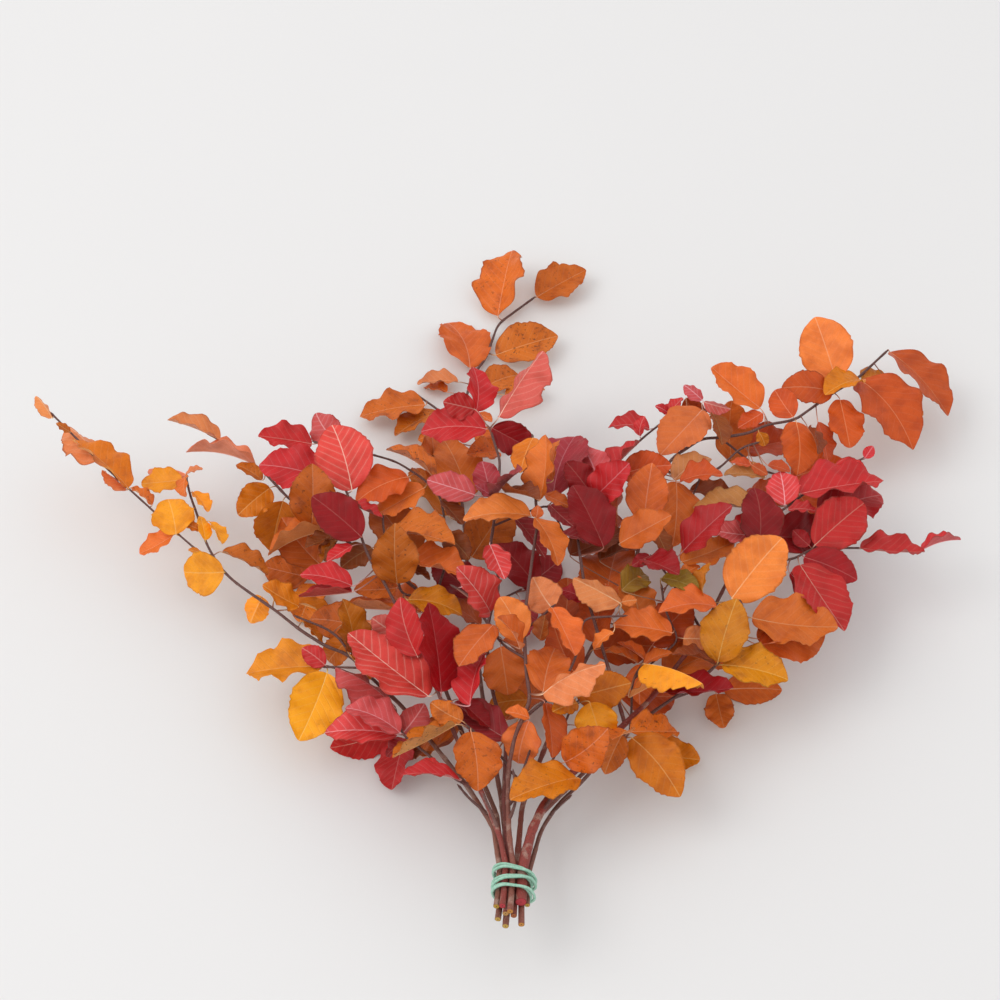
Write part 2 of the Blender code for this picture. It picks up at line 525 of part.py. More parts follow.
def seen_leaf(row, wood, rng, lift=0.0, tip_lift=0.0, roll=0.0, size=1.0, back=0):
    """The leaf that a row of the plan describes, on the nearest wood of its twig.

    The tip lies where its line of sight meets a plane through the base that leans to the viewer, or
    farther along that line where the blade would be too short for its width. The blade rolls about
    its midrib until it looks as wide as the row says, with its face as far up as that allows. A leaf
    on wood that nearly lies on the table is pressed flat there, and the bunch rests on it.
    """
    base_column, base_row, tip_column, tip_row, seen_width = row
    distances = [np.hypot(*(place_in_picture(p) - (base_column, base_row))) for p in wood]
    order = np.argsort(distances, kind="stable")
    root = wood[int(order[min(back, len(wood) - 1)])]
    pressed = root.z < PRESSED_HEIGHT * MM
    base = sight(base_column, base_row, 0.3 if pressed else root.z / MM + 1.5 + lift)
    if (base - root).length < 3 * MM:
        base = root + (sight(tip_column, tip_row, root.z / MM) - root).normalized() * 4 * MM
    lean = LEAN_TO_VIEWER * min(1.0, root.z / MM / LEAN_HEIGHT) + rng.gauss(0.0, 0.12)
    tilt = rng.gauss(0.0, 0.15)
    plane = Vector((math.sin(tilt), -math.sin(lean), math.cos(lean))).normalized()
    ray = line_of_sight(tip_column, tip_row)
    tip = EYE + ray * ((base - EYE).dot(plane) / ray.dot(plane))
    seen = abs(seen_width) / pixels_a_metre(base)
    needed = seen / 0.82
    if (tip - base).length < needed:
        closest = EYE + ray * ((base - EYE).dot(ray) / ray.length_squared)
        rest = needed**2 - (closest - base).length_squared
        tip = closest + ray.normalized() * math.sqrt(max(rest, 0.0))
        if tip.z < 2 * MM:
            tip = closest - ray.normalized() * math.sqrt(max(rest, 0.0))
    tip = tip - ray * (tip_lift * MM / -ray.z)
    tip = base + (tip - base) * size
    if pressed or tip.z < BLADE_THICKNESS:
        tip = EYE + ray * ((BLADE_THICKNESS * (0.3 if pressed else 1.0) - EYE.z) / ray.z)
    width = max((tip - base).length * WIDTH_OVER_LENGTH * rng.uniform(0.92, 1.1), seen * size)
    along = (tip - base).normalized()
    to_eye = (EYE - base).normalized()
    face = (to_eye - along * to_eye.dot(along)).normalized()
    turn = math.acos(min(1.0, seen / width))
    side = along.cross(face)
    both = [face * math.cos(a) + side * math.sin(a) for a in (turn, -turn)]
    facing = Vector((0.0, 0.0, 1.0)) if pressed else max(both, key=lambda v: v.z)
    if not pressed:
        facing = facing * math.cos(roll) + along.cross(facing) * math.sin(roll)
    leaf = Leaf(root, base, tip, facing, width, rng)
    leaf.seen_width = seen
    leaf.fold += math.radians(25.0) * max(0.0, 1.0 - seen / width)
    if pressed:
        leaf.fold, leaf.arch, leaf.wave = 0.0, 0.0, 0.0
    if seen_width < 0:
        leaf.fold = -leaf.fold
    return leaf


def clear_leaf(row, wood, owner, placed, number, tries=TRIES):
    """The first version of a leaf that touches nothing placed, trying ever larger shifts of its pose."""
    for k in range(tries):
        rng = random.Random(SEED * 1000 + number)
        shift = random.Random(number * 977 + k)
        reach = k / tries
        leaf = seen_leaf(
            row, wood, rng,
            lift=reach * shift.uniform(-9.0, 15.0),
            tip_lift=reach * shift.uniform(-40.0, 45.0),
            roll=reach * math.radians(shift.uniform(-50.0, 50.0)),
            size=1.0 - 0.12 * reach * shift.random(),
            back=int(reach * shift.uniform(0.0, 12.0)),
        )
        verts, faces = leaf.mesh()
        if leaf.turned_back() or crosses_itself(verts, faces):
            continue
        verts, faces = leaf.mesh(GAP)
        if placed.touched(verts, faces, owner, False):
            continue
        verts, faces = leaf.mesh(GAP, 0.5)
        if placed.touched(verts, faces, owner, True):
            continue
        return leaf, k
    return None, tries


def tie_point(place, along):
    """A point of the tied bundle: its place in the section, and how far along toward the cut ends."""
    right = Vector((0.0, 0.0, 1.0)).cross(-TIE_AXIS).normalized() * -1.0
    up = TIE_AXIS.cross(right).normalized()
    if up.z < 0:
        up = -up
    spread = 1.0 + max(0.0, abs(along) - TIE_HALF_LENGTH) * 6.0
    centre = sight(*TIE_COLUMN_ROW_HEIGHT) + TIE_AXIS * along
    return centre + (right * place[0] + up * place[1]) * MM * spread


def stem_path(plan):
    """The stem from its cut end through the tie and on along the plan's path."""
    place = plan["place"]
    start = [tie_point(place, plan["cut"] * MM), tie_point(place, TIE_HALF_LENGTH),
             tie_point(place, -TIE_HALF_LENGTH)]
    return start + [sight(*p) for p in plan["grown"][0][0]]


def lengths(points):
    """Distance along a path at each of its points."""
    steps = [(b - a).length for a, b in zip(points, points[1:])]
    return [sum(steps[:i]) for i in range(len(points))]


def taper(points, start, end):
    """A radius for each point of a path, falling from start to end, faster near the start."""
    run = lengths(points)
    return [end + (start - end) * (1.0 - d / run[-1]) ** TAPER_POWER for d in run]


def twig_root(grown, first):
    """Where a twig leaves the wood, a little nearer the tie than the closest place, and its radius."""
    best = None
    for points, radii, first_free in grown:
        run = lengths(points)
        for i in range(first_free, len(points) - 1):
            a, b = points[i], points[i + 1]
            share = max(0.0, min(1.0, (first - a).dot(b - a) / (b - a).length_squared))
            gap = (a + (b - a) * share - first).length
            if best is None or gap < best[0]:
                best = gap, points, radii, run, run[i] + share * (run[i + 1] - run[i]), run[first_free]
    gap, points, radii, run, at, least = best
    at = min(max(at - 0.8 * gap, least + 1 * MM), run[-1] - 1 * MM)
    i = max(k for k in range(len(run) - 1) if run[k] <= at)
    share = (at - run[i]) / (run[i + 1] - run[i])
    return points[i] + (points[i + 1] - points[i]) * share, radii[i] + (radii[i + 1] - radii[i]) * share


def clear_wood(points, radii, sides, owner, placed, keep):
    """A tube that touches no other branch: its points after the first keep rise or sink in steps."""
    for k in range(60):
        step = (k + 1) // 2 * (1 if k % 2 else -1) * 2.0 * MM
        moved = list(points)
        for i in range(keep, len(points)):
            ray = points[i] - EYE
            share = min(1.0, (i - keep + 1) / 2)
            moved[i] = points[i] - ray * (step * share / -ray.z)
        verts, faces = tube(moved, [r + GAP for r in radii], sides)
        if verts[:, 2].min() > 0.3 * MM and not placed.touched(verts, faces, owner, False):
            return moved
    print("no clear way for wood of", owner)
    return points


def section_hull(gap):
    """The line round the stems' sections at a gap, as (right, up) pairs in millimetres, and out from it."""
    ring = []
    for k in range(BAND_POINTS):
        angle = 2 * math.pi * k / BAND_POINTS
        way = np.array([math.cos(angle), math.sin(angle)])
        places = [(np.array(b["place"][:2]) @ way + b["place"][2], b["place"]) for b in BRANCHES.values()]
        x, y, radius = max(places)[1]
        ring.append((np.array([x, y]) + way * (radius + gap), way))
    return ring


def band_path(along, radius, sway, slant):
    """A band wound twice round the bundle: the strand swings out and along by half a turn each round."""
    swing = radius * 1.25
    ring = section_hull(BAND_GAP / MM + radius + swing)
    path = []
    for k in range(2 * len(ring)):
        (x, y), (out_x, out_y) = ring[k % len(ring)]
        angle = math.pi * k / len(ring)
        far = swing * math.cos(angle)
        place = (x + out_x * far, y + out_y * far)
        lean = slant * x / 15.0
        path.append(tie_point(place, (along + lean + sway * math.sin(angle)) * MM))
    return path


def loop_tube(path, radius, sides):
    """A closed ring of tube along a closed path."""
    verts, faces, count = [], [], len(path)
    for i, point in enumerate(path):
        ahead = (path[(i + 1) % count] - path[i - 1]).normalized()
        out = TIE_AXIS.cross(ahead).normalized()
        up = ahead.cross(out)
        for k in range(sides):
            angle = 2 * math.pi * (k + 0.5) / sides
            verts.append(point + (out * math.cos(angle) + up * math.sin(angle)) * radius)
            a, b = i * sides + k, i * sides + (k + 1) % sides
            c, d = (i + 1) % count * sides + (k + 1) % sides, (i + 1) % count * sides + k
            faces.append((a, b, c, d))
    return np.array(verts), faces


def lay_out():
    """Every tube and leaf of every branch, placed clear of one another."""
    placed = Placed()
    wood, leaves = {name: [] for name in BRANCHES}, {name: [] for name in BRANCHES}
    for name, plan in BRANCHES.items():
        points = stem_path(plan)
        radii = taper(points, plan["place"][2] * MM, plan["end"] * MM)
        radii[:3] = [plan["place"][2] * MM] * 3
        points = clear_wood(points, radii, STEM_SIDES, name, placed, 3)
        placed.add(*tube(points, radii, STEM_SIDES), name)
        wood[name].append((points, radii, STEM_SIDES))
    for name, plan in BRANCHES.items():
        for path, _ in plan["grown"][1:]:
            points = [sight(*p) for p in path]
            grown = [(w[0], w[1], 3 if i == 0 else 1) for i, w in enumerate(wood[name])]
            start, thickness = twig_root(grown, points[0])
            points.insert(0, start)
            radii = taper(points, min(TWIG_ROOT_RADIUS, 0.8 * thickness), TWIG_END_RADIUS)
            points = clear_wood(points, radii, TWIG_SIDES, name, placed, 1)
            placed.add(*tube(points, radii, TWIG_SIDES), name)
            wood[name].append((points, radii, TWIG_SIDES))
    rows = []
    for name, plan in BRANCHES.items():
        for (points, _, _), (_, plan_leaves) in zip(wood[name], plan["grown"]):
            free = points[3:] if points is wood[name][0][0] else points[-max(2, len(points) - 1):]
            dense = [a + (b - a) * k / 8 for a, b in zip(free, free[1:]) for k in range(8)]
            dense.append(free[-1] + (free[-2] - free[-1]).normalized() * 1.5 * MM)
            rows += [(name, row, dense) for row in plan_leaves]
    broad = [row[4] < BROAD_LEAF for _, row, _ in rows]
    order = sorted(range(len(rows)), key=lambda i: (broad[i], min(p.z for p in rows[i][2])))
    lost, tries = 0, []
    for number in order:
        name, row, dense = rows[number]
        leaf, k = clear_leaf(row, dense, name, placed, number)
        tries.append(k)
        if leaf is None:
            lost += 1
            print("no clear place:", name, row)
            continue
        placed.add(*leaf.mesh(), name)
        leaves[name].append(leaf)
    print("leaves", len(rows), "lost", lost, "tries", sum(tries))
    fill_gaps(wood, leaves, placed)
    return wood, leaves


class Cover:
    """Which places of the picture the leaves hide, in square cells."""

    def __init__(self):
        self.hidden = np.zeros((1000 // CELL, 1000 // CELL), bool)

    def add(self, leaf):
        """Marks the cells whose middles one of the leaf's triangles hides."""
        verts, faces = leaf.mesh()
        seen = np.array([place_in_picture(Vector(v)) for v in verts]) / CELL - 0.5
        for face in faces[:len(faces) // 2]:
            a, b, c = seen[list(face[:3])]
            low = np.maximum(np.floor(np.minimum(np.minimum(a, b), c)).astype(int), 0)
            high = np.minimum(np.ceil(np.maximum(np.maximum(a, b), c)).astype(int) + 1, len(self.hidden))
            x, y = np.meshgrid(np.arange(low[0], high[0]), np.arange(low[1], high[1]))
            sides = [(q[0] - p[0]) * (y - p[1]) - (q[1] - p[1]) * (x - p[0])
                     for p, q in ((a, b), (b, c), (c, a))]
            inside = np.all([d >= 0 for d in sides], axis=0) | np.all([d <= 0 for d in sides], axis=0)
            self.hidden[low[1]:high[1], low[0]:high[0]] |= inside

    def open_share(self, column, row):
        """How much of the picture round a place is still open."""
        x, y, reach = int(column / CELL), int(row / CELL), int(FILL_REACH / CELL)
        return 1.0 - self.hidden[y - reach:y + reach + 1, x - reach:x + reach + 1].mean()


def inside_outline(column, row, outline):
    """Whether a place lies inside a closed outline, by counting the sides to its right."""
    crossings = 0
    for (x1, y1), (x2, y2) in zip(outline, outline[1:] + outline[:1]):
        if (y1 > row) != (y2 > row) and column < x1 + (row - y1) * (x2 - x1) / (y2 - y1):
            crossings += 1
    return crossings % 2 == 1


def fill_gaps(wood, leaves, placed):
    """Leaves under the others, on the stems, wherever the bunch would let the table show through."""
    cover = Cover()
    for grown in leaves.values():
        for leaf in grown:
            cover.add(leaf)
    rng = random.Random(SEED)
    places = [(c, r) for c in range(0, 1000, FILL_STEP) for r in range(0, 1000, FILL_STEP)
              if inside_outline(c, r, FILL_OUTLINE)]
    rng.shuffle(places)
    stems = []
    for name in BRANCHES:
        for points, _, _ in wood[name]:
            start = 4 if points is wood[name][0][0] else 1
            for a, b in zip(points[start:], points[start + 1:]):
                stems += [(name, a + (b - a) * k / 4) for k in range(4)]
    seen = np.array([place_in_picture(p) for _, p in stems])
    heights = np.array([p.z / MM for _, p in stems])
    branches = np.array([name for name, _ in stems])
    middles = [(name, place_in_picture((leaf.base + leaf.base + leaf.along * leaf.length) / 2))
               for name, grown in leaves.items() for leaf in grown]
    around = np.array([middle for _, middle in middles])
    added = 0
    for column, row in places:
        if added == FILL_LEAVES or cover.open_share(column, row) < FILL_OPEN:
            continue
        outward = math.atan2(row - 780, column - 515) + rng.uniform(-0.9, 0.9)
        reach = rng.uniform(26, 36)
        way = np.array([math.cos(outward), math.sin(outward)]) * reach
        start, end = np.array([column, row]) - way, np.array([column, row]) + way
        cost = np.hypot(*(seen - start).T) + 1.0 * np.maximum(heights - 40, 0)
        nearest = middles[int(np.argmin(np.hypot(*(around - (column, row)).T)))][0]
        cost = cost + FILL_OTHER_BRANCH * (branches != nearest)
        name, root = stems[int(np.argmin(cost))]
        plan_row = (*start, *end, rng.uniform(1.25, 1.6) * reach)
        leaf, _ = clear_leaf(plan_row, [root], name, placed, 1000 + added, FILL_TRIES)
        if leaf is None or (leaf.base - leaf.root).length > FILL_PETIOLE:
            continue
        placed.add(*leaf.mesh(), name)
        leaves[name].append(leaf)
        cover.add(leaf)
        added += 1
    print("leaves under the others", added)


def add_object(name, verts, faces):
    """A mesh object of these vertices and faces, linked to the scene."""
    mesh = bpy.data.meshes.new(name)
    mesh.from_pydata([tuple(v) for v in verts], [], faces)
    mesh.update()
    made = bpy.data.objects.new(name, mesh)
    bpy.context.scene.collection.objects.link(made)
    return made


def material(name, colour, roughness):
    """A plain material of an sRGB colour written in hexadecimal."""
    made = bpy.data.materials.new(name)
    made.use_nodes = True
    shader = made.node_tree.nodes["Principled BSDF"]
    shade = [int(colour[i:i + 2], 16) / 255 for i in (0, 2, 4)]
    shader.inputs["Base Color"].default_value = [c**2.2 for c in shade] + [1.0]
    shader.inputs["Roughness"].default_value = roughness
    shader.inputs["Metallic"].default_value = 0.0
    return made


def fused(name, meshes):
    """One object from the first mesh with all the others joined to it as solids."""
    whole = add_object(name, *meshes[0])
    parts = bpy.data.collections.new(name + "_parts")
    bpy.context.scene.collection.children.link(parts)
    for i, (verts, faces) in enumerate(meshes[1:]):
        part = add_object(f"{name}_part_{i}", verts, faces)
        bpy.context.scene.collection.objects.unlink(part)
        parts.objects.link(part)
    join = whole.modifiers.new("join", "BOOLEAN")
    join.operation = "UNION"
    join.solver = "EXACT"
    join.operand_type = "COLLECTION"
    join.collection = parts
    bpy.context.view_layer.update()
    seen = whole.evaluated_get(bpy.context.evaluated_depsgraph_get())
    mesh = bpy.data.meshes.new_from_object(seen)
    whole.modifiers.clear()
    whole.data = mesh
    for part in list(parts.objects):
        bpy.data.objects.remove(part, do_unlink=True)
    bpy.data.collections.remove(parts)
    return whole


def build():
    """The ten branches and the three bands."""
    for old in list(bpy.data.objects):
        bpy.data.objects.remove(old, do_unlink=True)
    wood, leaves = lay_out()
    for name, plan in BRANCHES.items():
        meshes = [tube(*w) for w in wood[name]] + [leaf.mesh() for leaf in leaves[name]]
        branch = fused(name, meshes)
        branch.data.materials.clear()
        branch.data.materials.append(material(name + "_leaf", plan["colour"], 0.5))
    for name, (along, radius, sway, slant) in BANDS.items():
        path = band_path(along, radius, sway, slant)
        band = add_object(name, *loop_tube(path, radius * MM, BAND_SIDES))
        band.data.materials.append(material(name + "_rubber", "7FC9A4", 0.45))


build()
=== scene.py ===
# %% [markdown]
# # A tied bunch of preserved autumn beech branches
# Ten cut branches of beech, dyed crimson, orange and amber, are tied near their cut ends with three
# rubber bands and laid on a pale table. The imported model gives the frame: one node a branch and one a
# band. Each cell below grows one part of the bunch again, finer, in the same place. All lengths are
# metres unless a name ends in _MM, +Z is up and the table is at Z = 0.

# %% The frame
import math
import random

import bpy
import numpy as np
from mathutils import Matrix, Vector
from mathutils.bvhtree import BVHTree


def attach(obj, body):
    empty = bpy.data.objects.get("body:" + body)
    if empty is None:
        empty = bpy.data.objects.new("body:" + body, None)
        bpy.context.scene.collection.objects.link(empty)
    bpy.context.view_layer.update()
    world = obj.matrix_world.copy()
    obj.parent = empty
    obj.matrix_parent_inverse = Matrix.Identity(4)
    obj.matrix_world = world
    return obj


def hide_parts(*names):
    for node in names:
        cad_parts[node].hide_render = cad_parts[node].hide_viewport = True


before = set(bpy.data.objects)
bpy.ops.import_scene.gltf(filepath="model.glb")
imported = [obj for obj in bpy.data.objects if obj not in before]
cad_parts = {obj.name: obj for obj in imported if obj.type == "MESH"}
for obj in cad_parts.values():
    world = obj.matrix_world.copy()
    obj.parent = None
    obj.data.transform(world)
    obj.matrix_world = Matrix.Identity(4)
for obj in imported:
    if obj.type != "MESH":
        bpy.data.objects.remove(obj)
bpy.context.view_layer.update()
MM = 0.001
scene = bpy.context.scene
print("nodes:", ", ".join(sorted(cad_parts)))

# %% [markdown]
# ## Viewer and camera
# The bunch was photographed from the side of its cut ends, looking down at about 50 degrees through a
# long lens. The same eye places every twig and leaf later on: a place is named by its column and row in
# a square picture 1000 wide, and by its height over the table. That is quicker to plan than metres, and
# a line of sight turns it into a point.

# %% The eye, and a camera in its place
SEED = 11
VIEW_ELEVATION = math.radians(50.0)
VIEW_DISTANCE = 2.4
VIEW_HALF_WIDTH = 0.2
PICTURE_CENTRE = Vector((-0.0007, 0.0974, 0.0))
SENSOR_MM = 36.0

AHEAD = Vector((0.0, math.cos(VIEW_ELEVATION), -math.sin(VIEW_ELEVATION)))
EYE = PICTURE_CENTRE - AHEAD * VIEW_DISTANCE
RIGHT = Vector((1.0, 0.0, 0.0))
UP = RIGHT.cross(AHEAD)

lens = bpy.data.cameras.new("viewer")
lens.sensor_width = SENSOR_MM
lens.lens = SENSOR_MM / 2 / VIEW_HALF_WIDTH
lens.clip_end = 50.0
camera = bpy.data.objects.new("viewer", lens)
camera.location = EYE
camera.rotation_euler = (math.pi / 2 - VIEW_ELEVATION, 0.0, 0.0)
scene.collection.objects.link(camera)
scene.camera = camera
print("lens", lens.lens, "mm, eye", tuple(round(x, 3) for x in EYE))

# %% [markdown]
# ## Studio
# A white sheet and one large soft lamp high at the left, so that shadows fall to the right with wide,
# pale edges. The white world around fills them, as a white room does.

# %% Colours, nodes and meshes
def linear(hexes):
    """The linear colour of an sRGB colour written as six hexadecimal digits."""
    shade = np.array([int(hexes[i:i + 2], 16) / 255 for i in (0, 2, 4)])
    low = shade / 12.92
    high = ((shade + 0.055) / 1.055) ** 2.4
    return (*np.where(shade <= 0.04045, low, high).tolist(), 1.0)


SMOOTH = {"interpolation_type": "SMOOTHSTEP"}
COLOURS = {"data_type": "RGBA"}
TINTED = {"data_type": "RGBA", "blend_type": "MULTIPLY"}


def add(tree, kind, *values, **settings):
    """The first output of a new shader node. Its settings are made, then its inputs in their order: each
    takes a value or the socket that feeds it, and None leaves one as it is."""
    made = tree.nodes.new("ShaderNode" + kind)
    for name, value in settings.items():
        setattr(made, name, value)
    for socket, value in zip([socket for socket in made.inputs if socket.enabled], values):
        if isinstance(value, bpy.types.NodeSocket):
            tree.links.new(value, socket)
        elif value is not None:
            socket.default_value = value
    return next(socket for socket in made.outputs if socket.enabled)


def new_material(name, **sockets):
    """A material with its Principled shader; sockets are set on the shader itself."""
    made = bpy.data.materials.new(name)
    made.use_nodes = True
    shader = made.node_tree.nodes["Principled BSDF"]
    for socket, value in sockets.items():
        shader.inputs[socket.replace("_", " ")].default_value = value
    return made, made.node_tree, shader


def mesh_object(name, points, faces, material):
    """A smooth object at the origin with this mesh and material, linked to the scene."""
    mesh = bpy.data.meshes.new(name)
    mesh.from_pydata(points, [], faces)
    mesh.materials.append(material)
    mesh.shade_smooth()
    made = bpy.data.objects.new(name, mesh)
    scene.collection.objects.link(made)
    return made

print("mid grey is", round(linear("808080")[0], 3), "in linear light")

# %% Floor, lamp and world
FLOOR_HALF = 14.0
LAMP_PLACE = Vector((-3.0, -0.4, 3.8))
LAMP_SIZE = 3.0
LAMP_WATTS = 56.0
WORLD_STRENGTH = 0.9

paper, tree, shader = new_material("White_paper", Roughness=0.75)
place = add(tree, "TexCoord").node.outputs["Object"]
fibre = add(tree, "TexNoise", place, 3.0, 2.0)
tone = add(tree, "MapRange", fibre, 0.0, 1.0, 0.795, 0.805)
tree.links.new(add(tree, "CombineColor", tone, tone, tone), shader.inputs["Base Color"])
sheet_corners = [(x * FLOOR_HALF, y * FLOOR_HALF, 0) for x, y in ((-1, -1), (1, -1), (1, 1), (-1, 1))]
floor = mesh_object("table_sheet", sheet_corners, [(0, 1, 2, 3)], paper)

lamp = bpy.data.lights.new("window", "AREA")
lamp.shape, lamp.size, lamp.energy = "SQUARE", LAMP_SIZE, LAMP_WATTS
lamp.color = (1.0, 0.985, 0.965)
lamp_object = bpy.data.objects.new("window", lamp)
lamp_object.location = LAMP_PLACE
lamp_object.rotation_euler = LAMP_PLACE.to_track_quat("Z", "Y").to_euler()
scene.collection.objects.link(lamp_object)

world = bpy.data.worlds.new("white_room")
world.use_nodes = True
world.node_tree.nodes["Background"].inputs["Color"].default_value = (1.0, 0.99, 0.99, 1.0)
world.node_tree.nodes["Background"].inputs["Strength"].default_value = WORLD_STRENGTH
scene.world = world
scene.view_settings.view_transform = "Standard"
print("lamp", LAMP_SIZE, "m square,", round(LAMP_PLACE.length, 2), "m away")

# %% [markdown]
# ## The plan
# Every branch grew on its own, so the plan lists them one by one: where its stem sits in the tied
# bundle, the path of the stem and of each twig, and every leaf by the places of its base and tip and
# the width it shows. A negative width is a leaf seen from below. The letter is the leaf's look, from
# the table of looks further down, where it differs from the rest of the branch.

